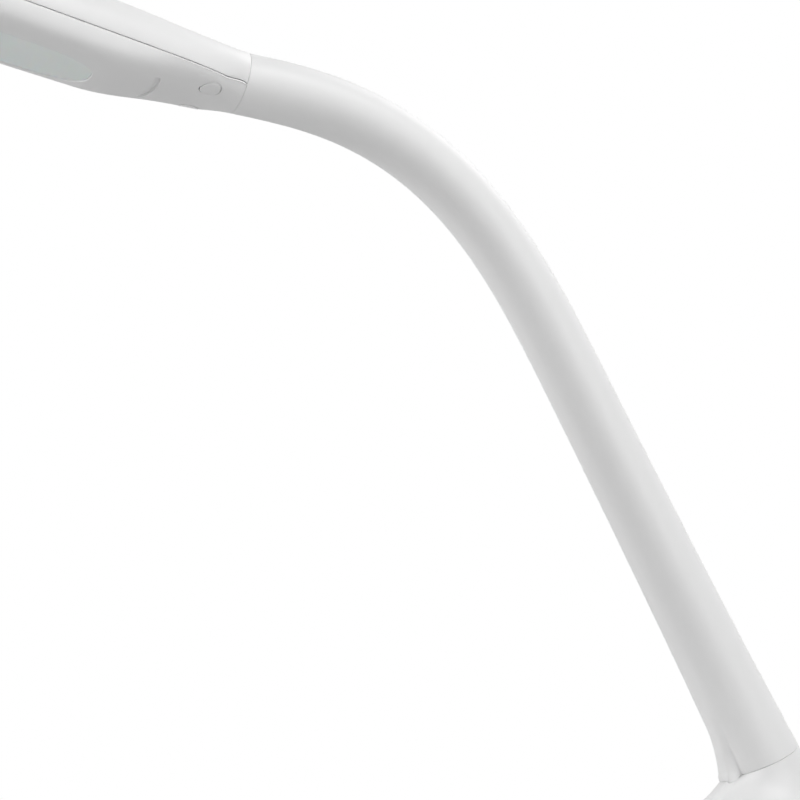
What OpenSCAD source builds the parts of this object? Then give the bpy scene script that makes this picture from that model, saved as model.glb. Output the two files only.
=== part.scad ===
// Folding LED desk lamp: a swan-neck arm folds forward on a weighted oval base,
// and the head twists about its own axis on the end of the arm.
// Millimetres. +X is the front, +Y the left side, +Z up; the origin is the
// centre of the base at table level.

/* [Base] */
// Front-to-back length of the oval base
base_length = 204; // [180:2:240]
// Width of the oval base
base_width = 150; // [130:2:180]
// Height of the rim of the base
rim_height = 17; // [14:0.5:24]
// Height of the dome around the collar
dome_height = 29; // [24:0.5:34]
// Wall of the base cover
cover_wall = 2.6; // [2:0.1:4]
// Distance from the centre of the base back to the arm seam
seam_back = 49.6; // [40:0.2:60]
// Height of the arm seam above the table
seam_height = 58.3; // [52:0.1:66]
// Tilt of the seam normal above the table
seam_lean = 64.3; // [60:0.1:72]
// Thickness of the steel ballast
ballast_height = 8; // [5:0.5:11]

/* [Arm] */
// Rise of the straight part of the arm
arm_lean = 60.75; // [56:0.25:66]
// Angle that the neck turns through
arm_bend = 55.8; // [50:0.2:60]
// Length of the arm along its centre line
arm_length = 368.6; // [340:0.2:400]
// Length of the arm before the neck begins
arm_straight = 157.1; // [140:0.1:180]
// Radius of the arm at the seam
foot_r = 15.8; // [15:0.1:18]
// Radius of the arm at the head
neck_r = 12.3; // [11.5:0.1:14]
// Wall of the arm
arm_wall = 2.2; // [1.8:0.1:3]
// Radius of the hinge knuckle at the front of the seam
barrel_r = 5.6; // [5.4:0.1:7]
// Fold angle from upright to the end stop
fold_angle = 40; // [20:1:41]

/* [Head] */
// Length of the head from the neck ring to the tip
head_length = 178; // [150:1:200]
// Width of the head
head_width = 52; // [48:1:60]
// Rise of the head axis
head_rise = 12; // [8:0.5:16]
// Height of the head above its axis
head_top = 13.2; // [12:0.1:15]
// Depth of the head below its axis
head_drop = 17.7; // [16:0.1:20]
// Wall of the head shells
head_wall = 2.2; // [1.8:0.1:3]
// Radius of the push buttons
button_r = 4.6; // [4:0.1:5.5]
// Distance of each button from the middle
button_y = 13; // [11.5:0.1:13.5]
// Distance of the buttons from the neck ring
button_s = 14.3; // [13:0.1:17]
// Travel of the push buttons
button_travel = 0.8; // [0.4:0.1:1.2]
// Radius of the arc of the crescent groove
groove_r = 55; // [40:1:70]
// Distance of the crescent groove from the neck ring
groove_s = 32.6; // [30:0.1:40]
// Number of LEDs in each of the two rows
led_count = 12; // [6:1:16]

/* [Fits] */
// Radial clearance of turning pins
run_gap = 0.05; // [0.02:0.01:0.1]
// Gap along a visible seam
seam_gap = 0.15; // [0.1:0.05:0.4]

/* [Hidden] */

white = [0.93, 0.93, 0.93];
steel = [0.72, 0.73, 0.75];
zinc = [0.62, 0.63, 0.65];
dark = [0.13, 0.13, 0.14];
green = [0.1, 0.36, 0.2];

seam_pos = [-seam_back, 0, seam_height];
seam_up = [cos(seam_lean), 0, sin(seam_lean)];
seam_front = [sin(seam_lean), 0, -cos(seam_lean)];
pivot = seam_pos + foot_r * seam_front;
pin_r = 1.6;
lug_half = 1.5;
hood_half = lug_half + 1.8;
lug_r = 3.3;
twist_r = 5.5;
wire_r = 1.1;
plate_height = 2.5;
foot_height = 2;

function unit(v) = v / norm(v);
function mix(a, b, u) = a + (b - a) * u;
function ease(u) = let (c = max(0, min(1, u))) c * c * (3 - 2 * c);
function bezier(a, b, c, d, u) = a * pow(1 - u, 3) + 3 * b * pow(1 - u, 2) * u
    + 3 * c * (1 - u) * u * u + d * pow(u, 3);

// ---- arm centre line ----
arm_step = arm_length / 120;
function arm_angle(t) = let (u = max(0, (t - arm_straight) / (arm_length - arm_straight)))
    arm_lean - arm_bend * (4 * pow(u, 3) - 3 * pow(u, 4));
arm_path = [for (i = 0, p = seam_pos; i <= 120;
    p = p + arm_step * [cos(arm_angle((i + 0.5) * arm_step)), 0,
        sin(arm_angle((i + 0.5) * arm_step))], i = i + 1) p];
function arm_point(t) = let (k = max(0, min(119, floor(t / arm_step))))
    mix(arm_path[k], arm_path[k + 1], t / arm_step - k);
head_pos = arm_path[120];
// cross sections turn square to the seam at the foot and to the head at the neck
function cut_angle(t) = mix(mix(arm_angle(t), seam_lean, 1 - ease(t / 26)), head_rise,
    ease((t - arm_length + 26) / 26));
function arm_r(t) = let (w = 1 - t / arm_length)
    neck_r + (foot_r - neck_r) * (0.27 * w + 0.73 * pow(w, 5));
// rounded web down the front of the foot, running into the hinge knuckle
function web(a) = ease((20 - abs(a)) / 10.5);
function web_height(t) = (barrel_r - 0.2) * pow(max(0, 1 - t / 38), 2.4);
function ring_at(t, a, r) = let (g = cut_angle(t))
    arm_point(t) + r * (cos(a) * [sin(g), 0, -cos(g)] + sin(a) * [0, 1, 0]);

// ---- closed skins ----
// side faces between neighbouring rows, which all hold the same number of points
function bands(n, pairs) = [for (p = pairs, j = [0:n - 1]) let (k = (j + 1) % n)
    each [[p[0] * n + j, p[0] * n + k, p[1] * n + k], [p[0] * n + j, p[1] * n + k, p[1] * n + j]]];
function lid(n, i) = [for (j = [0:n - 1]) i * n + j];
function turned(list) = [for (i = [len(list) - 1:-1:0]) list[i]];
// rows capped at the first and the last
module skin(rows) {
    n = len(rows[0]);
    m = len(rows);
    polyhedron(points = [for (row = rows) each row],
        faces = concat([turned(lid(n, 0)), lid(n, m - 1)], bands(n, [for (i = [0:m - 2]) [i, i + 1]])));
}
// rows joined from the last back to the first
module ring_skin(rows) {
    n = len(rows[0]);
    m = len(rows);
    polyhedron(points = [for (row = rows) each row],
        faces = bands(n, [for (i = [0:m - 1]) [i, (i + 1) % m]]));
}
// open shell: outer rows run from the mouth to a closed end, inner rows line it
module cup_skin(outer, inner) {
    n = len(outer[0]);
    m = len(outer);
    polyhedron(points = [for (row = concat(outer, inner)) each row],
        faces = concat([lid(n, m - 1), turned(lid(n, 2 * m - 1))],
            bands(n, concat([for (i = [0:m - 2]) [i, i + 1]], [for (i = [0:m - 2]) [m + i + 1, m + i]],
                [[m, 0]]))));
}
// round wire through a list of points in a plane of constant Y
module wire(path, r) {
    last = len(path) - 1;
    skin([for (i = [0:last]) let (d = unit(path[min(last, i + 1)] - path[max(0, i - 1)]),
        side = unit(cross(d, [0.02, 1, 0.01])), up = cross(side, d))
        [for (a = [0:45:315]) path[i] + r * (cos(a) * side + sin(a) * up)]]);
}
module screw(length, r, head_r, head) {
    cylinder(h = length, r = r, $fn = 24);
    translate([0, 0, -head]) difference() {
        cylinder(h = head, r = head_r, $fn = 32);
        translate([0, 0, -0.1]) cylinder(h = head * 0.6, r = head_r * 0.45, $fn = 6);
    }
}
module on_seam() { translate(seam_pos) rotate([0, -seam_lean, 0]) children(); }
module on_head() { translate(head_pos) rotate([0, -head_rise, 0]) children(); }
module on_arm(t) { translate(arm_point(t)) rotate([0, -arm_angle(t), 0]) children(); }
// cylinder along Y, centred on the hinge
module across(h, r, fn = 48) {
    translate(pivot) rotate([90, 0, 0]) cylinder(h = h, r = r, center = true, $fn = fn);
}
// the web turned about the hinge, so that arm and knuckle run into each other
module knuckle(grow) {
    profile = [for (a = [-18:2:18]) let (r = foot_r + web_height(0) * web(a))
        [max(0.3, r * cos(a) - foot_r + grow), r * sin(a)]];
    reach = profile[len(profile) - 1].y + max(0.05, grow);
    translate(pivot) rotate([90, 0, 0]) rotate_extrude($fn = 56)
        polygon(concat([[0, -reach], [0.25, -reach]], profile, [[0.25, reach], [0, reach]]));
}
module oval(length, width, fn = 96) {
    polygon([for (i = [0:fn - 1]) let (a = i * 360 / fn) [length / 2 * cos(a), width / 2 * sin(a)]]);
}

// ---- base ----
front_fall = 5.6;
front_flare = 16.8;
// sweep of the cover: 0 at the seam, 1 at the rim, 2 at the foot of the side wall
function cover_point(v, a) = let (
        ring = foot_r * (cos(a) * seam_front + sin(a) * [0, 1, 0]),
        tongue = web_height(0) * web(a > 180 ? a - 360 : a) * seam_front,
        top = seam_pos - seam_gap * seam_up + ring + tongue,
        back = (1 - cos(a)) / 2,
        front = pow(1 - back, 2),
        fall = mix(front_fall, (top.z - dome_height + 3) / seam_up.z, back),
        edge = [base_length / 2 * cos(a), base_width / 2 * sin(a), 0],
        inset = edge * (1 - 5 / norm(edge)),
        knee = top - fall * seam_up + front_flare * front * seam_front,
        rim = [inset.x, inset.y, rim_height])
    v <= 1 ? bezier(top, knee, [0, 0, dome_height - 0.5 + front] + mix([knee.x, knee.y, 0],
            [rim.x, rim.y, 0], mix(0.03, 0.45, back)), rim, v)
        : let (q = min(1, (v - 1) * 1.6) * 90, drop = max(0, (v - 1.625) / 0.375))
            [mix(inset.x, edge.x, sin(q)), mix(inset.y, edge.y, sin(q)),
                mix(rim_height - 7 * (1 - cos(q)), plate_height + foot_height, drop)];
function cover_normal(v, a) = let (e = 0.01,
        along = cover_point(min(2, v + e), a) - cover_point(max(0, v - e), a),
        around = cover_point(v, a + 1) - cover_point(v, a - 1))
    unit(cross(around, along));
module base_cover() {
    steps = [0, 0.06, 0.12, 0.18, 0.24, 0.31, 0.4, 0.51, 0.66, 0.82, 1, 1.15, 1.3, 1.45, 1.625, 2];
    inner_ring = foot_r - cover_wall;
    count = 72;
    color(white) difference() {
        union() {
            ring_skin([for (i = [0:count - 1]) let (a = 360 - i * 360 / count) concat(
                [for (v = steps) cover_point(v, a)],
                [for (k = [len(steps) - 1:-1:1]) let (v = steps[k], p = cover_point(v, a)
                    + cover_wall * cover_normal(v, a)) v == 2 ? [p.x, p.y, cover_point(2, a).z] : p],
                [seam_pos - seam_gap * seam_up
                    + inner_ring * (cos(a) * seam_front + sin(a) * [0, 1, 0])])]);
            for (p = boss_places) translate([p.x, p.y, plate_height + foot_height + 0.2])
                difference() {
                    cylinder(h = rim_height - 4.3, r = 4, $fn = 32);
                    translate([0, 0, -1]) cylinder(h = 9, r = 1.3, $fn = 24);
                }
        }
        knuckle(0.25);
        translate(socket_pos) rotate([0, -90, 0]) cylinder(h = 20, r = 4.2, $fn = 48);
    }
}
boss_places = [for (x = [-1, 1], y = [-1, 1]) [x * base_length * 0.3, y * base_width * 0.3]];
socket_pos = [-base_length / 2 + 8, 0, 11];

module base_plate() {
    color(dark) translate([0, 0, foot_height]) difference() {
        linear_extrude(plate_height) oval(base_length - 1, base_width - 1);
        for (p = boss_places) translate([p.x, p.y, -1]) cylinder(h = 5, r = 1.8, $fn = 24);
        for (p = foot_places) translate([p.x, p.y, -1]) cylinder(h = 2, r = 7.1, $fn = 48);
        for (y = [-7, 7]) translate([bracket_x, y, -1]) cylinder(h = 5, r = 1.6, $fn = 24);
    }
}
foot_places = concat([[0, 0]],
    [for (x = [-1, 1], y = [-1, 1]) [x * base_length * 0.36, y * base_width * 0.2]]);
bracket_x = pivot.x - 17;

module rubber_feet() {
    color(dark) for (p = foot_places) translate([p.x, p.y, 0])
        cylinder(h = foot_height + 0.95, r = 7, $fn = 48);
}
module base_screws() {
    color(steel) for (p = boss_places) translate([p.x, p.y, foot_height])
        screw(8, 1.25, 2.7, 1.6);
}
module ballast() {
    color(steel) translate([0, 0, plate_height + foot_height + 0.05]) difference() {
        linear_extrude(ballast_height) difference() {
            oval(base_length - 18, base_width - 18);
            translate([-base_length, -board_size.y / 2 - 7])
                square([base_length + board_pos.x + board_size.x / 2 + 7, board_size.y + 14]);
            translate([bracket_x, 0]) square([34, 30], center = true);
        }
        for (p = boss_places) translate([p.x, p.y, -1])
            cylinder(h = ballast_height + 2, r = 5, $fn = 32);
    }
}
// lug in the middle of the hinge barrel, on a strut that comes up inside the collar
module hinge_bracket() {
    floor_z = plate_height + foot_height + 0.05;
    color(zinc) difference() {
        union() {
            across(lug_half * 2, lug_r);
            translate([0, lug_half, 0]) rotate([90, 0, 0]) linear_extrude(lug_half * 2)
                polygon([pivot_xz + [-3.2, 0.6], pivot_xz + [0.2, -3.2], [bracket_x + 8, 26],
                    [bracket_x + 8, floor_z + 2], [bracket_x - 6, floor_z + 2],
                    [bracket_x - 6, 30]]);
            translate([bracket_x - 12, -12, floor_z]) cube([26, 24, 3]);
        }
        across(20, pin_r + run_gap, 64);
        for (y = [-7, 7]) translate([bracket_x, y, floor_z - 1])
            cylinder(h = 6, r = 1.25, $fn = 24);
    }
}
pivot_xz = [pivot.x, pivot.z];
module bracket_screws() {
    color(steel) for (y = [-7, 7]) translate([bracket_x, y, foot_height])
        screw(5, 1.2, 2.6, 1.2);
}
board_size = [18, 50, 1.6];
board_pos = [-base_length / 2 + 21, 0, plate_height + foot_height + 1.5];
module driver_board() {
    color(green) translate(board_pos + [0, 0, board_size.z / 2]) difference() {
        cube(board_size, center = true);
        for (s = [-1, 1]) translate([0, s * (board_size.y / 2 - 3), -2])
            cylinder(h = 4, r = 1.6, $fn = 24);
    }
}
module driver_parts() {
    color(dark) translate(board_pos + [0, 0, board_size.z]) {
        translate([2, -19, 2.3]) cube([10, 8, 4.5], center = true);
        translate([1, 17, 0.05]) cylinder(h = 6, r = 4, $fn = 32);
        translate([3, 8, 1.3]) cube([6, 6, 2.5], center = true);
    }
}
module dc_socket() {
    mouth = -6.4;
    color(dark) translate(socket_pos) rotate([0, 90, 0]) difference() {
        union() {
            translate([0, 0, mouth]) cylinder(h = 10, r = 4, $fn = 48);
            translate([-4.2, -4.5, mouth + 9.8]) cube([7.55, 9, 7]);
        }
        translate([0, 0, mouth - 1]) cylinder(h = 8, r = 2.75, $fn = 48);
        translate([0, 0, mouth + 5]) cylinder(h = 7.4, r = 1.8, $fn = 48);
    }
    color(steel) translate(socket_pos) rotate([0, 90, 0])
        translate([0, 0, mouth + 7.3]) cylinder(h = 5.1, r = 0.95, $fn = 32);
}
module base_lead() {
    start = board_pos + [board_size.x / 2 - 0.5, 3, 3.2];
    color(dark) wire([start, start + [1.5, 3, 3.8], seam_pos + [-16, 7.5, -40],
        seam_pos + [-12, 7.4, -32], seam_pos + [-6.5, 7.4, -23],
        lead_meet - 6 * seam_up, lead_meet - 0.35 * seam_up], wire_r);
}
// where the fixed lead ends and the loop at the hinge begins
lead_meet = pivot - 9 * seam_up + [0, 7.5, 0] - 9 * seam_front;

// ---- arm ----
arm_steps = concat([for (t = [seam_gap, 3, 7, 12, 18, 25, 36, arm_straight * 0.42,
    arm_straight * 0.7, arm_straight * 0.94]) t], [for (u = [0.08, 0.18, 0.26, 0.32, 0.38, 0.44,
    0.49, 0.54, 0.59, 0.64, 0.69, 0.74, 0.79, 0.84, 0.89, 0.94]) mix(arm_straight, arm_length, u)],
    [arm_length - seam_gap]);
cover_start = 35;
cover_end = arm_straight + 34;
// columns stand closer together around the web
function arm_row(t, lift) = [for (j = [0:arm_count - 1]) let (u = j * 360 / arm_count, a = 28 * sin(u) - u)
    ring_at(t, a, arm_r(t) + lift + (lift < 0 ? 0 : web(a < -180 ? a + 360 : a) * web_height(t)))];
arm_count = 48;
// round-ended strip along the back of the arm, grown by extra all round
module back_strip(extra, deep) {
    turn = [for (w = [0, 25, 50, 70, 90]) w];
    skin(concat(
        [for (w = turn) back_row(cover_start + 9 - (9 + extra) * cos(w), w, extra, deep)],
        [for (u = [0.2, 0.45, 0.7]) back_row(mix(cover_start, cover_end, u), 90, extra, deep)],
        [for (w = turned(turn)) back_row(cover_end - 9 + (9 + extra) * cos(w), w, extra, deep)]));
}
function back_row(t, w, extra, deep) = let (half = (6.6 + extra) * max(0.12, sin(w)), g = arm_angle(t))
    [for (q = [[half, deep], [half, 3], [-half, 3], [-half, deep]])
        arm_point(t) + (arm_r(t) + q.y) * [-sin(g), 0, cos(g)] - [0, q.x, 0]];
module arm_shell() {
    color(white) difference() {
        union() {
            ring_skin(concat([for (t = arm_steps) arm_row(t, 0)],
                [for (t = turned(arm_steps)) arm_row(t, -arm_wall)]));
            difference() {
                knuckle(-0.12);
                on_pivot() {
                    translate([seam_gap + 0.1, -10, arm_wall - 0.3]) cube([9, 20, 9]);
                    translate([-9, -10, 0.6]) cube([9 + seam_gap, 20, 9]);
                }
            }
        }
        across(hood_half * 2, barrel_r - 1.4);
        // room for the bracket through the whole fold
        translate(pivot) rotate([90, 0, 0]) linear_extrude(lug_half * 2 + 1.2, center = true)
            for (g = [0:fold_angle / 4:fold_angle]) rotate(g) translate([-3.6, -9]) square([4.6, 9]);
        on_pivot() translate([-0.1, -hood_half, -0.2]) cube([6.5, hood_half * 2, 8]);
        back_strip(0.15, -4);
        for (t = fork_screw_places) on_arm(t) {
            cylinder(h = 20, r = 1.3, $fn = 24);
            translate([0, 0, arm_r(t) - 1.25]) cylinder(h = 4, r = 2.4, $fn = 32);
        }
    }
}
fork_screw_places = [10, 17];
module arm_back_cover() {
    color(white) intersection() {
        back_strip(0, -3);
        ring_skin(concat([for (t = back_steps) arm_row(t, 0.01)],
            [for (t = turned(back_steps)) arm_row(t, -1.8)]));
    }
}
back_steps = [for (u = [0:0.2:1]) mix(cover_start - 5, cover_end + 5, u)];
// frame at the hinge: +X up the arm, +Z back to the middle of the seam
module on_pivot() { translate(pivot) rotate([0, -seam_lean, 0]) children(); }
// plug in the foot of the arm with the two cheeks that carry the pin
module arm_fork() {
    cheek = 1;
    color(zinc) difference() {
        union() {
            on_arm(0) translate([5.5, 0, 0]) rotate([0, 90, 0])
                cylinder(h = 17, r1 = foot_r - arm_wall - 0.9, r2 = foot_r - arm_wall - 1.4, $fn = 64);
            for (s = [-1, 1]) on_pivot() translate([0, s * (lug_half + 0.6 + cheek / 2), 0])
                rotate([90, 0, 0]) linear_extrude(cheek, center = true) union() {
                    circle(r = barrel_r - 1.6, $fn = 48);
                    polygon([[3, 0], [6, 0.1], [6.1, 3.2], [9, 4.4], [9, 9], [5, 9], [-2.6, 2.6]]);
                }
        }
        across(20, pin_r + 0.01, 64);
        on_arm(0) rotate([0, 90, 0]) cylinder(h = 30, r = 3.4, $fn = 32);
        for (t = fork_screw_places) on_arm(t) cylinder(h = 20, r = 1.2, $fn = 24);
    }
}
module fork_screws() {
    color(steel) for (t = fork_screw_places) on_arm(t) translate([0, 0, arm_r(t) - 1.2])
        rotate([180, 0, 0]) screw(8, 1.15, 2.2, 1);
}
module hinge_pin() {
    color(steel) across(lug_half * 2 + 3.2, pin_r, 64);
}
module hinge_washers() {
    color(steel) for (s = [-1, 1]) translate([0, s * (lug_half + 0.3), 0]) difference() {
        across(0.5, barrel_r - 2.4);
        across(1, pin_r + run_gap);
    }
}
// sleeve in the neck that the spigot turns in; its groove limits the twist
module neck_socket() {
    color(zinc) on_head() rotate([0, 90, 0]) difference() {
        translate([0, 0, -24]) cylinder(h = 24 - seam_gap * 2, r1 = 7.6,
            r2 = neck_r - arm_wall - 0.3, $fn = 64);
        translate([0, 0, -25]) cylinder(h = 26, r = twist_r + run_gap, $fn = 96);
        rotate([0, 0, 78]) rotate_extrude(angle = 204, $fn = 96)
            translate([twist_r - 0.5, -3.2]) square([3.4, 4]);
    }
}
module arm_lead() {
    color(dark) wire([for (t = concat([7, 20, 60, 110], [for (u = [0, 0.22, 0.37, 0.49, 0.61, 0.73,
        0.84, 0.93, 1]) mix(arm_straight, arm_length - 39.5, u)])) arm_point(t)], wire_r);
}
// loose loop of lead that bends as the arm folds
module hinge_lead() {
    color(dark) wire(concat([lead_meet], [for (q = [[-6.5, 7.4, 9.4], [-3, 6.9, 10.5], [0, 5, 12.6],
        [2.6, 2.2, 15], [4.6, 0.5, 16.2], [6.6, 0, 16.6]])
        pivot + q.x * seam_up + [0, q.y, 0] - q.z * seam_front]), wire_r);
}

// ---- head ----
// half width, top, bottom and split line at a distance from the neck ring
head_shoulder = 8.2;
head_widest = 100;
head_seam = -5.7;
function tip(s, p) = s <= head_widest ? 1
    : pow(max(0, 1 - pow((s - head_widest) / (head_length - head_widest), p)), 0.5);
function half_width(s) = tip(s, 2.4) * (neck_r + head_shoulder * (1 - exp(-min(s, head_widest) / 9.5))
    + (head_width / 2 - neck_r - head_shoulder) * min(s, head_widest) / head_widest);
function split_at(s) = mix(-3.4, head_seam, ease(s / 12));
function top_at(s) = mix(head_seam, mix(mix(mix(neck_r, neck_r - 0.8, ease(s / 8)), head_top,
    ease((s - 18) / 40)), 1, ease((s - 60) / (head_length - 60))), tip(s, 4));
function bottom_at(s) = mix(head_seam, -mix(mix(neck_r, neck_r - 0.5, ease(s / 8)), head_drop,
    ease((s - 10) / 50)), tip(s, 9));
function head_ring(s, a, lift) = let (u = ease(s / 14), e = 2 / (sin(a) > 0 ? 2 + 0.3 * u : 2 + 2 * u),
        mid = split_at(s) * u, high = sin(a) > 0 ? top_at(s) - mid : mid - bottom_at(s))
    [s, sign(cos(a)) * max(0.1, half_width(s) + lift) * pow(abs(cos(a)), e),
        mid + sign(sin(a)) * max(0.1, high + lift) * pow(abs(sin(a)), e)];
head_steps = concat([for (s = [seam_gap, 2, 4.5, 7.5, 11, 15, 20, 26, 33, 41, 50, 60, 72, 86, 100]) s],
    [for (u = [0.15, 0.3, 0.45, 0.58, 0.7, 0.8, 0.88, 0.94, 0.975, 0.995])
        mix(head_widest, head_length, u)]);
head_count = 40;
function head_row(s, x, lift) = [for (j = [0:head_count - 1])
    let (p = head_ring(s, -(4.5 + j * 360 / head_count), lift)) [x, p.y, p.z]];
module head_shell() {
    on_head() cup_skin([for (s = head_steps) head_row(s, s, 0)],
        [for (s = head_steps) head_row(s, mix(seam_gap, head_length - 5,
            (s - seam_gap) / (head_length - seam_gap)), -head_wall)]);
}
// everything above the split line
module above_split(shift) {
    on_head() translate([0, 40, 0]) rotate([90, 0, 0]) linear_extrude(80)
        polygon(concat([for (s = [-8, 0, 2, 4, 6, 8, 10, 12, head_length + 5])
            [s, split_at(s) + shift]], [[head_length + 5, 40], [-8, 40]]));
}
window_start = 58;
window_end = head_length - 18;
screw_places = [for (s = [window_start + 20, window_end - 28], y = [-1, 1]) [s, y * 11]];
module window(grow) {
    polygon(concat([for (i = [0:12]) let (s = mix(window_start - grow, window_end + grow,
        (1 - cos(i * 15)) / 2)) [s, window_half(s, grow)]],
        [for (i = [12:-1:0]) let (s = mix(window_start - grow, window_end + grow,
            (1 - cos(i * 15)) / 2)) [s, -window_half(s, grow)]]));
}
function window_half(s, grow) = let (m = (window_start + window_end) / 2,
        u = abs(s - m) / ((window_end - window_start) / 2 + grow))
    (head_width / 2 - 10.5 + grow) * pow(max(0, 1 - pow(u, 5)), 0.4) + 0.3;
plate_level = -head_drop + head_wall;

module head_upper() {
    color(white) {
        intersection() {
            head_shell();
            above_split(seam_gap / 2);
        }
        on_head() for (p = screw_places) let (floor_n = board_level + 2.8)
            translate([p.x, p.y, floor_n]) difference() {
                cylinder(h = mix(head_seam, top_at(p.x), 0.9) - 1.2 - floor_n, r = 3.2, $fn = 32);
                translate([0, 0, -1]) cylinder(h = 9, r = 1.1, $fn = 24);
            }
    }
}
// arc band of the crescent groove
module groove_shape() {
    translate([groove_s + groove_r, 0]) difference() {
        intersection() {
            circle(r = groove_r, $fn = 360);
            translate([-groove_r - 1, -13.8]) square([20, 27.6]);
        }
        circle(r = groove_r - 2.2, $fn = 360);
    }
}
module head_lower() {
    color(white) difference() {
        union() {
            head_shell();
            on_head() {
                translate([groove_s - 2, -14.9, -13.1]) cube([7.4, 29.8, 2.7]);
                for (s = spigot_screw_places) translate([s, 0, -11.2])
                    cylinder(h = 11.2 + tongue_level, r = 2.8, $fn = 32);
            }
        }
        above_split(-seam_gap / 2);
        on_head() {
            translate([0, 0, -40]) linear_extrude(60) window(0);
            translate([0, 0, plate_level]) linear_extrude(9) window(1.9);
            for (y = [-1, 1]) translate([button_s, y * button_y, -20])
                cylinder(h = 12.4, r = button_r + 0.2, $fn = 64);
            translate([0, 0, -25]) linear_extrude(25 - 12) groove_shape();
            for (s = spigot_screw_places) translate([s, 0, -9.4])
                cylinder(h = 9, r = 0.95, $fn = 24);
        }
    }
}
spigot_screw_places = [8.5, 22.8];
tongue_level = -5;
board_level = plate_level + 3.1;

module twist_spigot() {
    color(zinc) on_head() difference() {
        union() {
            rotate([0, 90, 0]) {
                translate([0, 0, -27.5]) cylinder(h = 33, r = twist_r, $fn = 96);
                translate([0, 0, 2]) cylinder(h = 3.5, r = neck_r - 3.1, $fn = 64);
                rotate([0, 0, 171]) rotate_extrude(angle = 18, $fn = 96)
                    translate([twist_r - 0.5, -2.9]) square([3.2, 2.2]);
            }
            translate([5, -4.5, tongue_level + 0.05]) cube([21, 9, 2]);
        }
        rotate([0, 90, 0]) {
            translate([0, 0, -30]) cylinder(h = 50, r = 2.8, $fn = 48);
            translate([0, 0, -26.3]) difference() {
                cylinder(h = 1.2, r = 8, $fn = 48);
                translate([0, 0, -1]) cylinder(h = 3, r = 4.7, $fn = 48);
            }
        }
        for (s = spigot_screw_places) translate([s, 0, -8]) cylinder(h = 10, r = 1.2, $fn = 24);
    }
}
module spigot_clip() {
    color(steel) on_head() rotate([0, 90, 0]) translate([0, 0, -26.15]) difference() {
        cylinder(h = 0.9, r = 6.9, $fn = 64);
        translate([0, 0, -1]) cylinder(h = 3, r = 4.75, $fn = 64);
        translate([3, -2.5, -1]) cube([6, 5, 3]);
    }
}
module spigot_screws() {
    color(steel) on_head() for (s = spigot_screw_places)
        translate([s, 0, tongue_level + 2.1]) rotate([180, 0, 0]) screw(6, 0.9, 1.9, 1);
}
module diffuser() {
    color([0.97, 0.97, 0.95]) on_head() {
        translate([0, 0, -head_drop + 0.7]) linear_extrude(head_wall - 0.6) window(-0.15);
        translate([0, 0, plate_level + 0.05]) linear_extrude(1.2) window(1.6);
    }
}
module reflector() {
    color(white) on_head() translate([0, 0, plate_level + 1.3])
        linear_extrude(board_level - plate_level - 1.35) difference() {
            window(1.6);
            window(0);
        }
}
module led_board() {
    color(green) on_head() translate([0, 0, board_level]) difference() {
        linear_extrude(1.2) window(1.6);
        for (p = screw_places) translate([p.x, p.y, -1]) cylinder(h = 4, r = 1.5, $fn = 24);
    }
}
module leds() {
    color([0.95, 0.85, 0.4]) on_head() for (i = [0:led_count - 1], y = [-5.2, 5.2])
        translate([mix(window_start + 8, window_end - 8, i / (led_count - 1)), y,
            board_level - 0.5]) cube([3, 2.8, 0.9], center = true);
}
module heat_spreader() {
    color([0.8, 0.8, 0.82]) on_head() translate([0, 0, board_level + 1.25]) difference() {
        union() {
            linear_extrude(1.5) window(1.6);
            for (y = [-8:4:8]) translate([window_start + 27, y - 0.5, 1.4])
                cube([window_end - window_start - 62, 1, 4]);
        }
        for (p = screw_places) translate([p.x, p.y, -1]) cylinder(h = 4, r = 1.5, $fn = 24);
    }
}
module head_screws() {
    color(steel) on_head() for (p = screw_places) translate([p.x, p.y, board_level - 0.05])
        screw(8, 1, 2.3, 1.1);
}
module head_lead() {
    color(dark) wire([for (q = [[-29, 0], [-15, 0], [4, 0], [9, 0.8], [14, 1.6], [24, 1.4],
        [38, -0.6], [50, -3.4], [60, -6.6], [66, -8.3]])
        head_pos + q.x * [cos(head_rise), 0, sin(head_rise)]
            + q.y * [-sin(head_rise), 0, cos(head_rise)]], wire_r);
}
// slack lead behind the spigot that takes up the twist
module twist_lead() {
    color(dark) wire(concat([arm_point(arm_length - 39.1), arm_point(arm_length - 36.5)],
        [for (s = [-34, -32, -29.4]) head_pos + s * [cos(head_rise), 0, sin(head_rise)]]), wire_r);
}
switch_level = -2.8;
module switch_board() {
    color(green) on_head() translate([11, -15.2, switch_level]) cube([9, 30.4, 1]);
}
module tact_switches() {
    color(dark) on_head() for (y = [-1, 1])
        translate([button_s, y * button_y, switch_level - 0.85]) cube([3.6, 3.6, 1.6], center = true);
}
module dome(y) {
    color([0.3, 0.3, 0.3]) on_head() translate([button_s, y, switch_level - 2.65])
        cylinder(h = 0.95, r1 = 1.3, r2 = 1.8, $fn = 32);
}
module dome_power() { dome(button_y); }
module dome_dimmer() { dome(-button_y); }
module button(y) {
    color(white) {
        on_head() intersection() {
            skin([for (s = [button_s - 7, button_s - 3.5, button_s, button_s + 3.5, button_s + 7])
                head_row(s, s, 0)]);
            translate([button_s, y, -20]) cylinder(h = 11, r = button_r, $fn = 64);
        }
        on_head() translate([button_s, y, 0]) {
            translate([0, 0, -9.3]) cylinder(h = 9.3 + switch_level - 2.7, r = 1.4, $fn = 32);
            translate([-1.5, y > 0 ? -6.6 : 3.6, -9.5]) cube([3, 3, 0.8]);
        }
    }
}
module button_power() { button(button_y); }
module button_dimmer() { button(-button_y); }

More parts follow.
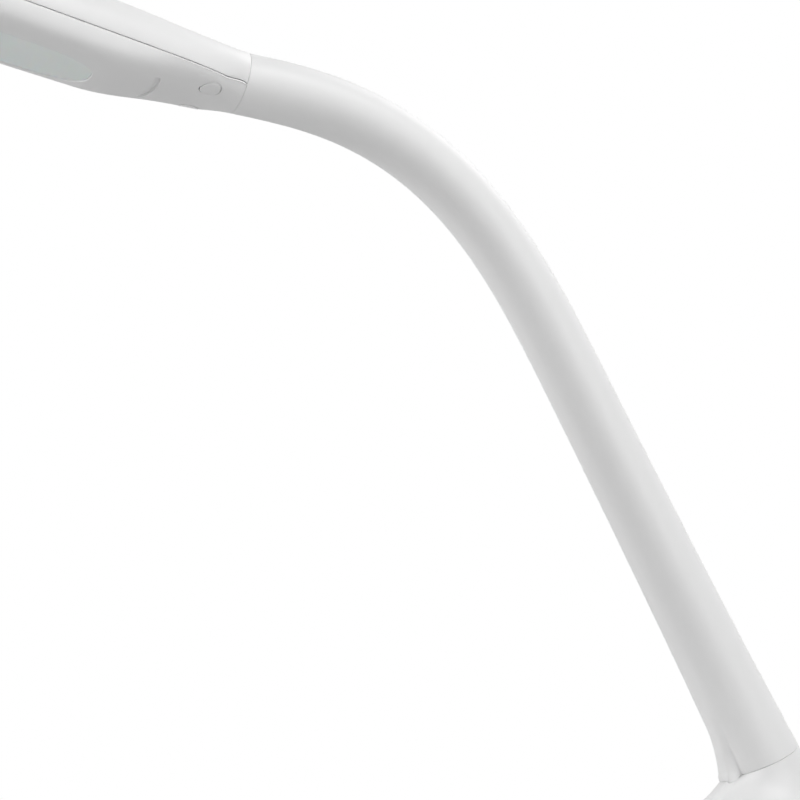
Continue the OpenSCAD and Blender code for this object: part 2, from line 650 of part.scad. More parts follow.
base_cover();
base_plate();
ballast();
rubber_feet();
base_screws();
hinge_bracket();
bracket_screws();
driver_board();
driver_parts();
dc_socket();
base_lead();
arm_shell();
arm_back_cover();
arm_fork();
fork_screws();
hinge_pin();
hinge_washers();
neck_socket();
arm_lead();
hinge_lead();
twist_lead();
head_upper();
head_lower();
twist_spigot();
spigot_clip();
spigot_screws();
diffuser();
reflector();
led_board();
leds();
heat_spreader();
head_screws();
head_lead();
switch_board();
tact_switches();
dome_power();
dome_dimmer();
button_power();
button_dimmer();
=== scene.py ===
import math

import bmesh
import bpy
from mathutils import Matrix, Vector
from mathutils.geometry import delaunay_2d_cdt
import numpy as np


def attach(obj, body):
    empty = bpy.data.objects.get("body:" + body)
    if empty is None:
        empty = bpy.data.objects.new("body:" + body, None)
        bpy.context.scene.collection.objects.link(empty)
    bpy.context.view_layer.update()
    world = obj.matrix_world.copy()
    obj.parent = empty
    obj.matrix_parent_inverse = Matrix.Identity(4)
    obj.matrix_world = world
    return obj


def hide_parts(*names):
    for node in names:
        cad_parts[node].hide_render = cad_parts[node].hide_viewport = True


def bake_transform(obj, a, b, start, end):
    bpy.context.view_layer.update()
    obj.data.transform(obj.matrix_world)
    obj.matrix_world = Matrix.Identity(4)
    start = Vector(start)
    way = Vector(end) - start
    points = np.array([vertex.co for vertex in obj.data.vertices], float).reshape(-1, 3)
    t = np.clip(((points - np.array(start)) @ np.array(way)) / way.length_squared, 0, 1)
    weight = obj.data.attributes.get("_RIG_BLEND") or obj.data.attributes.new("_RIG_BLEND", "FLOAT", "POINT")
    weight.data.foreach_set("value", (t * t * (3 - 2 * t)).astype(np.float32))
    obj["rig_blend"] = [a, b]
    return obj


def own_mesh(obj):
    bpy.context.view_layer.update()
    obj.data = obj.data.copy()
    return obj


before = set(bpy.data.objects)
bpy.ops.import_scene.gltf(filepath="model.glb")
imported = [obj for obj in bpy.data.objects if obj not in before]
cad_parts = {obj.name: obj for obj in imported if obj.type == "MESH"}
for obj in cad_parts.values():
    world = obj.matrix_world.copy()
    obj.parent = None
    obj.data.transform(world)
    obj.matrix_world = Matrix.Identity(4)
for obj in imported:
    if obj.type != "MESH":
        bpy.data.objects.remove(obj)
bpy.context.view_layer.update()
print("frame loaded:", len(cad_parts), "nodes")

# Lengths are millimetres and angles degrees; inside node trees and for the studio they are metres.
toMetres = 0.001


# small maths
def mix(a, b, u):
    return a + (b - a) * u


def ease(u):
    u = min(1, max(0, u))
    return u * u * (3 - 2 * u)


def sinD(angle):
    return math.sin(math.radians(angle))


def cosD(angle):
    return math.cos(math.radians(angle))


def spread(start, end, count):
    return [mix(start, end, i / count) for i in range(count + 1)]


def bezier(a, b, c, d, u):
    return a * (1 - u) ** 3 + b * (3 * (1 - u) ** 2 * u) + c * (3 * (1 - u) * u * u) + d * u**3


# mesh tools
def addObject(name, data):
    piece = bpy.data.objects.new(name, data)
    bpy.context.scene.collection.objects.link(piece)
    return piece


def cleanMesh(mesh, merge, dissolve=0):
    work = bmesh.new()
    work.from_mesh(mesh)
    bmesh.ops.remove_doubles(work, verts=work.verts, dist=merge * toMetres)
    if dissolve:
        bmesh.ops.dissolve_degenerate(work, edges=work.edges, dist=dissolve * toMetres)
    bmesh.ops.recalc_face_normals(work, faces=work.faces)
    work.to_mesh(mesh)
    work.free()


def newPiece(name, points, faces):
    mesh = bpy.data.meshes.new(name)
    mesh.from_pydata([Vector(p) * toMetres for p in points], [], faces)
    cleanMesh(mesh, 0.002, 0.0005)
    return addObject(name, mesh)


def smooth(piece, sharpAngle=32):
    piece.data.shade_smooth()
    piece.data.set_sharp_from_angle(angle=math.radians(sharpAngle))


def settle(piece, body, node):
    smooth(piece)
    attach(piece, body)
    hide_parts(node)
    return piece


# turns what the modifiers make into a plain mesh
def bake(piece):
    graph = bpy.context.evaluated_depsgraph_get()
    mesh = bpy.data.meshes.new_from_object(piece.evaluated_get(graph))
    piece.modifiers.clear()
    piece.data = mesh


# takes the tool away from the piece, or joins it on
def carve(piece, tool, operation="DIFFERENCE"):
    modifier = piece.modifiers.new("carve", "BOOLEAN")
    modifier.solver = "MANIFOLD"
    modifier.operation = operation
    modifier.object = tool
    bake(piece)
    bpy.data.objects.remove(tool)


def turnY(angle):
    return Matrix.Rotation(math.radians(angle), 4, "Y")


def boxTool(low, high, place):
    corners = [(x, y, z) for x in (low[0], high[0]) for y in (low[1], high[1]) for z in (low[2], high[2])]
    faces = [(0, 1, 3, 2), (4, 6, 7, 5), (0, 4, 5, 1), (2, 3, 7, 6), (0, 2, 6, 4), (1, 5, 7, 3)]
    return newPiece("tool", [place @ Vector(corner) for corner in corners], faces)


# closed piece from rings of equally many points
def ringPiece(name, rings):
    count = len(rings[0])
    faces = [tuple(range(count - 1, -1, -1))]
    for start in range(0, (len(rings) - 1) * count, count):
        for k in range(count):
            a, b = start + k, start + (k + 1) % count
            faces.append((a, b, b + count, a + count))
    faces.append(tuple((len(rings) - 1) * count + k for k in range(count)))
    return newPiece(name, [point for ring in rings for point in ring], faces)


# solid of revolution about local Z from (radius, height) pairs
def turnedTool(profile, place, sides=96):
    turns = [360 * k / sides for k in range(sides)]
    return ringPiece("tool", [[place @ Vector((radius * cosD(a), radius * sinD(a), height)) for a in turns]
                              for radius, height in profile])


# profile of a plug with both edges rounded
def rounded(radius, edge, low, high, steps=5):
    lower = [(radius - edge + edge * sinD(90 * k / steps), low + edge - edge * cosD(90 * k / steps))
             for k in range(steps + 1)]
    upper = [(r, low + high - h) for r, h in reversed(lower)]
    return lower + upper


# rows of an inset, down its lip and its wall to its floor, as (distance outside the outline, depth)
def stepped(grow, depth, lip=0.3):
    return [(grow + lip, 0), (grow + lip * 0.5, lip * 0.13), (grow + lip * 0.13, lip * 0.5), (grow, lip),
            (grow - 0.03, depth - 0.12), (grow - 0.12, depth)]


def inside(point, loop):
    found = False
    for (x0, y0), (x1, y1) in zip(loop, loop[1:] + loop[:1]):
        if (y0 > point[1]) != (y1 > point[1]) and point[0] < x0 + (point[1] - y0) * (x1 - x0) / (y1 - y0):
            found = not found
    return found


# sheet over the grid us by vs; insets are (outline, rows) stepped into it, and spacing is the
# size of a v step in u; grid points nearer than the clearance to an inset's rows are left out
def skin(us, vs, place, insets=(), spacing=1.0, clearance=0.35):
    points, faces, index = [], [], {}
    if not insets:
        for i, u in enumerate(us):
            for j, v in enumerate(vs):
                index[i, j] = len(points)
                points.append(place(u, v, 0))
        for i in range(len(us) - 1):
            for j in range(len(vs) - 1):
                faces.append((index[i, j], index[i + 1, j], index[i + 1, j + 1], index[i, j + 1]))
        return points, faces, index
    flat, edges, zones = [], [], []
    for outline, rows in insets:
        for grow, depth in rows:
            loop = outline(grow)
            first = len(flat)
            for k, (u, v) in enumerate(loop):
                flat.append(Vector((u, v * spacing)))
                points.append(place(u, v, depth))
                edges.append((first + k, first + (k + 1) % len(loop)))
        keepOut = outline(rows[0][0] + clearance)
        floor = outline(rows[-1][0] - clearance)
        low = (min(p[0] for p in keepOut), min(p[1] for p in keepOut))
        high = (max(p[0] for p in keepOut), max(p[1] for p in keepOut))
        zones.append((keepOut, floor, rows[-1][1], low, high))
    for i, u in enumerate(us):
        for j, v in enumerate(vs):
            depth = 0
            for keepOut, floor, floorDepth, low, high in zones:
                if low[0] < u < high[0] and low[1] < v < high[1] and inside((u, v), keepOut):
                    depth = floorDepth if inside((u, v), floor) else None
            if depth is None:
                continue
            index[i, j] = len(points)
            flat.append(Vector((u, v * spacing)))
            points.append(place(u, v, depth))
    found = delaunay_2d_cdt(flat, edges, [], 0, 1e-7)
    source = [ids[0] for ids in found[3]]
    faces = [tuple(source[k] for k in face) for face in found[2]]
    return points, faces, index


# closed wall between an outer and an inner sheet over the same grid
def shell(name, us, vs, outer, inner, insets=(), spacing=1.0, wraps=False):
    points, faces, index = skin(us, vs, outer, insets, spacing)
    innerPoints, innerFaces, innerIndex = skin(us, vs, inner)
    start = len(points)
    points = points + innerPoints
    faces = faces + [tuple(start + k for k in face) for face in innerFaces]
    lastU, lastV = len(us) - 1, len(vs) - 1
    if wraps:
        edges = [[(i, j) for j in range(lastV + 1)] for i in (0, lastU)]
    else:
        edges = [[(0, j) for j in range(lastV)] + [(i, lastV) for i in range(lastU)]
                 + [(lastU, j) for j in range(lastV, 0, -1)] + [(i, 0) for i in range(lastU, -1, -1)]]
    for edge in edges:
        for a, b in zip(edge, edge[1:]):
            faces.append((index[a], index[b], start + innerIndex[b], start + innerIndex[a]))
    return newPiece(name, points, faces)


# arm
arm = {
    "seam": Vector((-49.6, 0, 58.3)),  # middle of the seam between collar and arm
    "seamLean": 64.3,
    "lean": 60.75,
    "bend": 55.8,
    "length": 368.6,
    "straight": 157.1,
    "footRadius": 15.8,
    "neckRadius": 12.3,
    "wall": 2.2,
    "lip": 0.15,
    "seamGap": 0.05,
    "knuckle": 5.4,  # height of the knuckle and of the web at the seam
    "knuckleGap": 0.26,
    "webReach": 38,
    "webHalf": (20, 0.25),  # half width in degrees at the seam, and its growth per mm up the arm
    "webFade": (10.5, 0.4),
    "cutBlend": 26,  # length over which the rings lean over to the cuts at both ends
    "hoodHalf": 3.3,
    "hoodRadius": 4.2,
    "lugRoom": 2.1,
    "stripStart": 35,
    "stripEnd": 191.1,
    "stripHalf": 6.6,
    "stripThick": 1.75,
    "stripGap": 0.12,
    "stripRound": 9,
    "screwPlaces": (10, 17),
    "screwRadius": 2.3,
    "foldSteps": (0, 10, 20, 30, 40),
    "rows": 220,
    "columns": 110,
}
headRise = 12
pathSteps = 1200
seamUp = Vector((cosD(arm["seamLean"]), 0, sinD(arm["seamLean"])))
seamFront = Vector((sinD(arm["seamLean"]), 0, -cosD(arm["seamLean"])))
sideways = Vector((0, 1, 0))
pivot = arm["seam"] + seamFront * arm["footRadius"]


def armAngle(t):
    u = max(0, (t - arm["straight"]) / (arm["length"] - arm["straight"]))
    return arm["lean"] - arm["bend"] * (4 * u**3 - 3 * u**4)


armStep = arm["length"] / pathSteps
armPath = [arm["seam"].copy()]
for step in range(pathSteps):
    angle = armAngle((step + 0.5) * armStep)
    armPath.append(armPath[-1] + armStep * Vector((cosD(angle), 0, sinD(angle))))


def armPoint(t):
    k = min(pathSteps - 1, max(0, int(t / armStep)))
    return mix(armPath[k], armPath[k + 1], t / armStep - k)


def cutAngle(t):
    foot = mix(armAngle(t), arm["seamLean"], 1 - ease(t / arm["cutBlend"]))
    return mix(foot, headRise, ease((t - arm["length"] + arm["cutBlend"]) / arm["cutBlend"]))


def armRadius(t):
    w = 1 - t / arm["length"]
    return arm["neckRadius"] + (arm["footRadius"] - arm["neckRadius"]) * (0.27 * w + 0.73 * w**5)


# share of the web's height at the angle a round the arm
def web(a, t=0):
    half, fade = (start + growth * t for start, growth in (arm["webHalf"], arm["webFade"]))
    return ease((half - abs((a + 180) % 360 - 180)) / fade)


def webHeight(t):
    return arm["knuckle"] * max(0, 1 - t / arm["webReach"]) ** 2.4


def ringAt(t, a, radius):
    g = cutAngle(t)
    return armPoint(t) + radius * (cosD(a) * Vector((sinD(g), 0, -cosD(g))) + sinD(a) * sideways)


# place along a wall and depth for a parameter that runs one past each end to roll over the lip
def lipRoll(t, low, high, lip):
    past = max(0, low - t, t - high)
    back = lip * (1 - sinD(90 * past))
    end = min(high, max(low, t))
    if past:
        end = low + back if t < low else high - back
    elif t <= low + lip:
        end = max(t, low + lip)
    elif t >= high - lip:
        end = min(t, high - lip)
    return end, lip * (1 - cosD(90 * past)) if past else 0


def armOuter(t, a, depth):
    end, down = lipRoll(t, arm["seamGap"], arm["length"] - arm["seamGap"], arm["lip"])
    return ringAt(end, a, armRadius(end) + web(a, end) * webHeight(end) - down - depth)


def armInner(t, a, depth):
    end = min(arm["length"] - arm["seamGap"], max(arm["seamGap"], t))
    return ringAt(end, a, armRadius(end) - arm["wall"])


# half width of the round-ended strip along the back
def stripHalf(t, grow=0):
    bow = arm["stripHalf"] + grow
    near = min(t - arm["stripStart"], arm["stripEnd"] - t) + grow
    reach = arm["stripRound"] + grow
    return bow if near >= reach else bow * math.sqrt(max(0, 1 - (1 - near / reach) ** 2))


def rearAngle(t, y):
    return 180 - math.degrees(math.asin(y / armRadius(t)))


# places along the strip, closer at its round ends
def stripPlaces(grow, endSteps, sides):
    start, end, reach = arm["stripStart"], arm["stripEnd"], arm["stripRound"]
    turn = [start - grow + (reach + grow) * (1 - cosD(90 * k / endSteps)) for k in range(endSteps + 1)]
    flat = spread(start + reach, end - reach, sides)[1:-1]
    return turn + flat + [start + end - t for t in reversed(turn)]


def stripOutline(grow):
    ts = stripPlaces(grow, 16, 55)
    return ([(t, rearAngle(t, stripHalf(t, grow))) for t in ts]
            + [(t, rearAngle(t, -stripHalf(t, grow))) for t in reversed(ts[1:-1])])


def screwOutline(place):
    def outline(grow):
        radius = arm["screwRadius"] + 0.1 + grow
        return [(place + radius * cosD(k * 15), rearAngle(place, radius * sinD(k * 15))) for k in range(24)]
    return outline


# +X up the arm at the seam, +Z back towards the middle of it
pivotFrame = Matrix.Translation(pivot) @ turnY(-arm["seamLean"])
acrossFrame = Matrix.Translation(pivot) @ Matrix.Rotation(math.radians(90), 4, "X")


# the web turned about the hinge
def knuckleTool(grow):
    least, endRadius, half = 0.3, 0.25, 18
    profile = []
    for a in spread(-half, half, 48):
        radius = arm["footRadius"] + arm["knuckle"] * web(a)
        profile.append((max(least, radius * cosD(a) - arm["footRadius"]) + grow, radius * sinD(a)))
    reach = profile[-1][1] + max(0.05, grow)
    return turnedTool([(endRadius + grow, -reach)] + profile + [(endRadius + grow, reach)], acrossFrame)


def makeArm():
    low, high = arm["seamGap"], arm["length"] - arm["seamGap"]
    ts = ([low - 1, low - 0.66, low - 0.33, low + arm["lip"]] + spread(low + 1, 30, 40)
          + spread(31.2, high - 26, arm["rows"]) + spread(high - 25, high - 1, 30)
          + [high - arm["lip"], high + 0.33, high + 0.66, high + 1])
    angles = spread(0, 30, 40)[:-1] + spread(30, 330, arm["columns"])[:-1] + spread(330, 360, 40)
    insets = [(stripOutline, stepped(arm["stripGap"], arm["stripThick"] + 0.1, 0.25))]
    insets += [(screwOutline(place), stepped(0, 1.15, 0.2)) for place in arm["screwPlaces"]]
    piece = shell("arm_shell_smooth", ts, angles, armOuter, armInner, insets, 0.24, wraps=True)
    knuckle = knuckleTool(-0.03)
    for low, high in (((0.2, -10, 1.9), (9.2, 10, 10.9)), ((-9, -10, 0.6), (0.12, 10, 10))):
        carve(knuckle, boxTool(low, high, pivotFrame))
    carve(piece, knuckle, "UNION")
    hood, room = arm["hoodHalf"], arm["lugRoom"]
    carve(piece, turnedTool(rounded(arm["hoodRadius"], 0.1, -hood, hood), acrossFrame))
    for turn in arm["foldSteps"]:
        carve(piece, boxTool((-3.6, -room, -9), (1, room, 0), Matrix.Translation(pivot) @ turnY(-turn)))
    carve(piece, boxTool((-0.1, -hood, -0.2), (6.4, hood, 7.8), pivotFrame))
    return settle(piece, "arm", "arm_shell")


# trim strip that closes the cable way
def makeStrip():
    edge = 0.25
    across = [0.15, 0.3, 0.45, 0.6, 0.75, 0.88, 1, 1.33, 1.66, 2]

    def place(t, v, depth):
        half = stripHalf(t)
        past = max(0, abs(v) - 1)
        soft = min(edge, half * 0.5)
        y = (half - soft) * min(1, abs(v)) + soft * sinD(90 * past)
        return ringAt(t, rearAngle(t, math.copysign(y, v)), armRadius(t) - soft * (1 - cosD(90 * past)))

    def under(t, v, depth):
        y = stripHalf(t) * min(1, abs(v) / 2)
        return ringAt(t, rearAngle(t, math.copysign(y, v)), armRadius(t) - arm["stripThick"])

    vs = [-v for v in reversed(across)] + [0] + across
    piece = shell("arm_back_strip", stripPlaces(0, 24, 70), vs, place, under)
    return settle(piece, "arm", "arm_back_cover")


# base
base = {
    "length": 204,
    "width": 150,
    "rim": 17,
    "dome": 29,
    "wall": 2.6,
    "foot": 4.5,  # lower edge of the cover above the table
    "lip": 0.25,
    "frontFall": 5.6,
    "frontFlare": 16.8,
    "backSink": 3,
    "spread": (0.03, 0.45),  # how far the flare's end reaches out to the rim, at the front and the back
    "rimInset": 5,
    "rimRound": 7,
    "socket": Vector((-94, 0, 11)),
    "socketHole": 4.2,
}
rimShare = 0.625


# v is 0 at the seam, 1 where the rim's rounding starts and 2 at the lower edge
def coverPoint(v, a):
    ring = arm["footRadius"] * (cosD(a) * seamFront + sinD(a) * sideways)
    tongue = arm["knuckle"] * web(a) * seamFront
    top = arm["seam"] - arm["seamGap"] * seamUp + ring + tongue
    back = (1 - cosD(a)) / 2
    front = (1 - back) ** 2
    fall = mix(base["frontFall"], (top.z - base["dome"] + base["backSink"]) / seamUp.z, back)
    edge = Vector((base["length"] / 2 * cosD(a), base["width"] / 2 * sinD(a), 0))
    inset = edge * (1 - base["rimInset"] / edge.length)
    knee = top - fall * seamUp + base["frontFlare"] * front * seamFront
    rim = Vector((inset.x, inset.y, base["rim"]))
    lean = mix(knee, rim, mix(*base["spread"], back))
    lean.z = base["dome"] - 0.5 + front
    if v <= 1:
        return bezier(top, knee, lean, rim, max(0, v))
    turn = 90 * min(1, (v - 1) / rimShare)
    drop = max(0, (v - 1 - rimShare) / (1 - rimShare))
    return Vector((mix(inset.x, edge.x, sinD(turn)), mix(inset.y, edge.y, sinD(turn)),
                   mix(base["rim"] - base["rimRound"] * (1 - cosD(turn)), base["foot"], drop)))


def coverOuter(v, a, depth):
    if v >= 0:
        return coverPoint(v, a)
    top = coverPoint(0, a)
    down = (coverPoint(0.02, a) - top).normalized()
    outwards = cosD(a) * seamFront + sinD(a) * sideways
    lip = base["lip"]
    return top + lip * (1 - sinD(-90 * v)) * down - lip * (1 - cosD(-90 * v)) * outwards


def coverInner(v, a, depth):
    if v < 0.04:
        ring = (arm["footRadius"] - base["wall"]) * (cosD(a) * seamFront + sinD(a) * sideways)
        return arm["seam"] - arm["seamGap"] * seamUp + ring - max(0, v) * 25 * seamUp
    v = min(v, 1.999)
    step = 0.01
    along = coverPoint(min(2, v + step), a) - coverPoint(v - step, a)
    around = coverPoint(v, a + 1) - coverPoint(v, a - 1)
    point = coverPoint(v, a) + base["wall"] * around.cross(along).normalized()
    if v > 1.99:
        point.z = base["foot"]
    return point


def makeCover():
    vs = ([-1, -0.66, -0.33] + [0.02 + 0.98 * (k / 60) ** 1.3 for k in range(61)]
          + spread(1, 1 + rimShare, 14)[1:] + spread(1 + rimShare, 2, 4)[1:])
    angles = spread(0, 60, 60)[:-1] + spread(60, 300, 120)[:-1] + spread(300, 360, 60)
    piece = shell("base_cover_smooth", vs, angles, coverOuter, coverInner, wraps=True)
    carve(piece, knuckleTool(arm["knuckleGap"]))
    hole = rounded(base["socketHole"], 0.1, 0, 20)
    carve(piece, turnedTool(hole, Matrix.Translation(base["socket"]) @ turnY(-90)))
    return settle(piece, "base", "base_cover")


# head
head = {
    "length": 178,
    "width": 52,
    "top": 13.2,
    "drop": 17.7,
    "wall": 2.2,
    "shoulder": 8.2,
    "widest": 100,
    "split": -5.7,
    "splitAtNeck": -3.4,
    "flareLength": 9.5,
    "neckBlend": 14,  # length over which the neck's circle becomes the head's section
    # added to the circle's power 2: above, and below at the buttons and around the window
    "upperPower": 0.3,
    "turnIn": (-0.5, 2),  # how soon the underside turns in below the split line
    "flatness": (3.5, 2),  # how flat it is across
    "windowBlend": (30, 25),
    "seamGap": 0.03,
    "neckLip": 0.12,
    "splitGap": 0.07,  # half of the gap between the shells
    "upperLip": 0.2,
    "lowerLip": 0.75,
    "buttonRadius": 4.1,
    "buttonProud": 0.15,
    "buttonPlace": (14.3, 13),
    "grooveRadius": 53.9,
    "grooveMiddle": 87.6,
    "grooveHalf": 0.95,
    "grooveChord": 13.8,
    "grooveDepth": 1.2,
    "grooveLip": 0.6,
    "windowStart": 58,
    "windowEnd": 160,
    "windowHalf": 15.5,
    "windowDepth": 1.9,
    "windowRecess": 0.5,
}
headPos = armPath[-1]
headAlong = Vector((cosD(headRise), 0, sinD(headRise)))
headUp = Vector((-sinD(headRise), 0, cosD(headRise)))


def headPoint(s, y, n):
    return headPos + s * headAlong + y * sideways + n * headUp


# local +Z is the head's own upward direction, which the buttons move along
def headFrame(s, y):
    return Matrix.Translation(headPoint(s, y, 0)) @ turnY(-headRise)


def buttonSpot(side):
    return head["buttonPlace"][0], side * head["buttonPlace"][1]


def tip(s, power):
    if s <= head["widest"]:
        return 1
    return math.sqrt(max(0, 1 - ((s - head["widest"]) / (head["length"] - head["widest"])) ** power))


def halfWidth(s):
    neck = arm["neckRadius"]
    along = min(s, head["widest"])
    flare = neck + head["shoulder"] * (1 - math.exp(-along / head["flareLength"]))
    return tip(s, 2.4) * (flare + (head["width"] / 2 - neck - head["shoulder"]) * along / head["widest"])


def splitAt(s):
    return mix(head["splitAtNeck"], head["split"], ease(s / 12))


def topAt(s):
    neck = arm["neckRadius"]
    rise = mix(mix(neck, neck - 0.8, ease(s / 8)), head["top"], ease((s - 18) / 40))
    return mix(head["split"], mix(rise, 1, ease((s - 60) / (head["length"] - 60))), tip(s, 4))


def bottomAt(s):
    neck = arm["neckRadius"]
    drop = mix(mix(neck, neck - 0.5, ease(s / 8)), head["drop"], ease((s - 10) / 50))
    return mix(head["split"], -drop, tip(s, 9))


# 0 at the neck seam, 1 where the neck's circle has become the head's section
def fromNeck(s):
    return ease(s / head["neckBlend"])


def underPower(s, form):
    start, reach = head["windowBlend"]
    return 2 + fromNeck(s) * mix(*head[form], ease((s - start) / reach))


# (y, n) on the section at s; a is 0 on the left, 90 on top
def headSection(s, a, lift):
    upper = sinD(a) > 0
    power = 2 / (2 + head["upperPower"] * fromNeck(s) if upper else underPower(s, "flatness"))
    rise = power if upper else 2 / underPower(s, "turnIn")
    middle = splitAt(s) * fromNeck(s)
    tall = topAt(s) - middle if upper else middle - bottomAt(s)
    side = max(0, halfWidth(s) + lift)
    tall = max(0, tall + lift)
    return (math.copysign(side * abs(cosD(a)) ** power, cosD(a)),
            middle + math.copysign(tall * abs(sinD(a)) ** rise, sinD(a)))


# section angle by which the split line lies under the widest line
def splitAngle(s):
    middle = splitAt(s) * fromNeck(s)
    share = (middle - splitAt(s)) / max(1e-6, middle - bottomAt(s))
    return math.degrees(math.asin(min(1, max(0, share)) ** (underPower(s, "turnIn") / 2)))


# section angle of the underside point at a distance y from the middle
def undersideAngle(s, y):
    share = min(1, abs(y) / halfWidth(s)) ** (underPower(s, "flatness") / 2)
    angle = -math.degrees(math.acos(share))
    return angle if y > 0 else -180 - angle


# section angle at a share of 0 to 180 around one shell
def shellAngle(s, v, upper):
    v = min(180, max(0, v))
    low = splitAngle(s)
    return v * (180 + 2 * low) / 180 - low if upper else -low - v * (180 - 2 * low) / 180


# outer sheet of one shell; v runs one past each end to roll over the lip
def headOuter(upper):
    sign = 1 if upper else -1

    def place(s, v, depth):
        end, down = lipRoll(s, head["seamGap"], head["length"] + 5, head["neckLip"])
        end = min(end, head["length"])
        past = max(0, -v, v - 180)
        y, n = headSection(end, shellAngle(end, v, upper), -down - depth)
        lip = min(head["upperLip"] if upper else head["lowerLip"], halfWidth(end) * 0.4)
        level = splitAt(end) + sign * (head["splitGap"] + lip * (1 - sinD(90 * past)))
        if past:
            y = math.copysign(max(0, abs(y) - lip * (1 - cosD(90 * past))), y)
            n = level
        elif sign * n < sign * level:
            n = level
        return headPoint(end, y, n)

    return place


def headInner(upper):
    sign = 1 if upper else -1

    def place(s, v, depth):
        end = min(head["length"], max(head["seamGap"], s))
        shrink = (head["length"] - 5 - head["seamGap"]) / (head["length"] - head["seamGap"])
        y, n = headSection(end, shellAngle(end, v, upper), -head["wall"])
        n = sign * max(sign * n, sign * splitAt(end) + head["splitGap"])
        return headPoint(head["seamGap"] + (end - head["seamGap"]) * shrink, y, n)

    return place


# grid place (s, v) of a point of the underside
def underside(s, y):
    low = splitAngle(s)
    return s, min(180, max(0, 180 * (-undersideAngle(s, y) - low) / (180 - 2 * low)))


def buttonOutline(side):
    s, y = buttonSpot(side)

    def outline(grow):
        radius = head["buttonRadius"] + grow
        return [underside(s + radius * cosD(k * 7.5), y + radius * sinD(k * 7.5)) for k in range(48)]
    return outline


# round-ended band along an arc
def crescentOutline(grow):
    radius, half = head["grooveRadius"], head["grooveHalf"] + grow
    swing = math.degrees(math.asin(head["grooveChord"] / radius))
    arc = spread(-swing, swing, 48)
    cap = [(half * cosD(22.5 * k), half * sinD(22.5 * k)) for k in range(1, 8)]

    # out is away from the arc's middle, past is along it
    def spot(angle, out, past=0):
        return underside(head["grooveMiddle"] - (radius + out) * cosD(angle) + past * sinD(angle),
                         (radius + out) * sinD(angle) + past * cosD(angle))

    return ([spot(a, half) for a in arc] + [spot(swing, out, past) for out, past in cap]
            + [spot(a, -half) for a in reversed(arc)]
            + [spot(-swing, out, -past) for out, past in reversed(cap)])


def windowHalf(s, grow):
    middle = (head["windowStart"] + head["windowEnd"]) / 2
    u = abs(s - middle) / ((head["windowEnd"] - head["windowStart"]) / 2 + grow)
    return (head["windowHalf"] + grow) * max(0, 1 - u**5) ** 0.4


def windowSteps(grow, count=48):
    return [mix(head["windowStart"] - grow, head["windowEnd"] + grow, (1 - cosD(180 * k / count)) / 2)
            for k in range(count + 1)]


def windowOutline(grow):
    ss = windowSteps(grow)
    return ([underside(s, windowHalf(s, grow)) for s in ss]
            + [underside(s, -windowHalf(s, grow)) for s in reversed(ss[1:-1])])


def headRows():
    tail = [mix(head["length"], head["widest"], (1 - k / 60) ** 2.2) for k in range(1, 61)]
    low = head["seamGap"]
    return ([low - 1, low - 0.66, low - 0.33, low + head["neckLip"]] + spread(low + 1, 40, 40)
            + spread(41.5, head["widest"], 40) + tail)


def headColumns():
    rim = [3, 6, 10, 14]
    return ([-1, -0.66, -0.33, 0] + rim + spread(18, 162, 80) + [180 - a for a in reversed(rim)]
            + [180, 180.33, 180.66, 181])


def makeHead():
    insets = [(buttonOutline(side), stepped(0.2, 2, 0.2)) for side in (1, -1)]
    insets += [(crescentOutline, stepped(0, head["grooveDepth"], head["grooveLip"])),
               (windowOutline, stepped(0, head["windowDepth"], 0.3))]
    grid = headRows(), headColumns()
    pieces = [shell("head_upper_smooth", *grid, headOuter(True), headInner(True)),
              shell("head_lower_smooth", *grid, headOuter(False), headInner(False), insets, 0.4)]
    stemHole = 2.2
    for side in (1, -1):
        carve(pieces[1], turnedTool([(stemHole, -14), (stemHole, -6)], headFrame(*buttonSpot(side))))
    return [settle(piece, "head", node)
            for piece, node in zip(pieces, ("head_upper", "head_lower"))]


# point over the underside by a lift into the head
def undersidePoint(s, y, lift):
    return headPoint(s, y, headSection(s, undersideAngle(s, y), 0)[1] + lift)


# thin cap that follows the underside, slightly dished
def makeButton(name, side, body, node):
    edge, thick, dish, dishRadius, gap = 0.25, 1.1, 0.12, 3.7, 0.15
    radius = head["buttonRadius"] - gap
    flat = radius - edge
    radii = [0.001, 0.8, 1.6, 2.4, 3, 3.5] + [flat + past for past in (0, 0.33, 0.66, 1)]
    stem = [(1.4, -10.6), (1.4, -5.7), (1.2, -5.5)]

    def ring(out, lift):
        s, y = buttonSpot(side)
        return [undersidePoint(s + out * cosD(a), y + out * sinD(a), lift) for a in spread(0, 360, 64)[:-1]]

    rings = [ring(radius * r / (flat + 1), thick) for r in radii]
    for r in reversed(radii):
        past = max(0, r - flat)
        down = edge * (1 - cosD(90 * past)) + dish * (1 - min(1, r / dishRadius) ** 4)
        rings.append(ring(min(r, flat) + edge * sinD(90 * past), down - head["buttonProud"]))
    piece = ringPiece(name, rings)
    carve(piece, turnedTool(stem, headFrame(*buttonSpot(side)), 32), "UNION")
    return settle(piece, body, node)


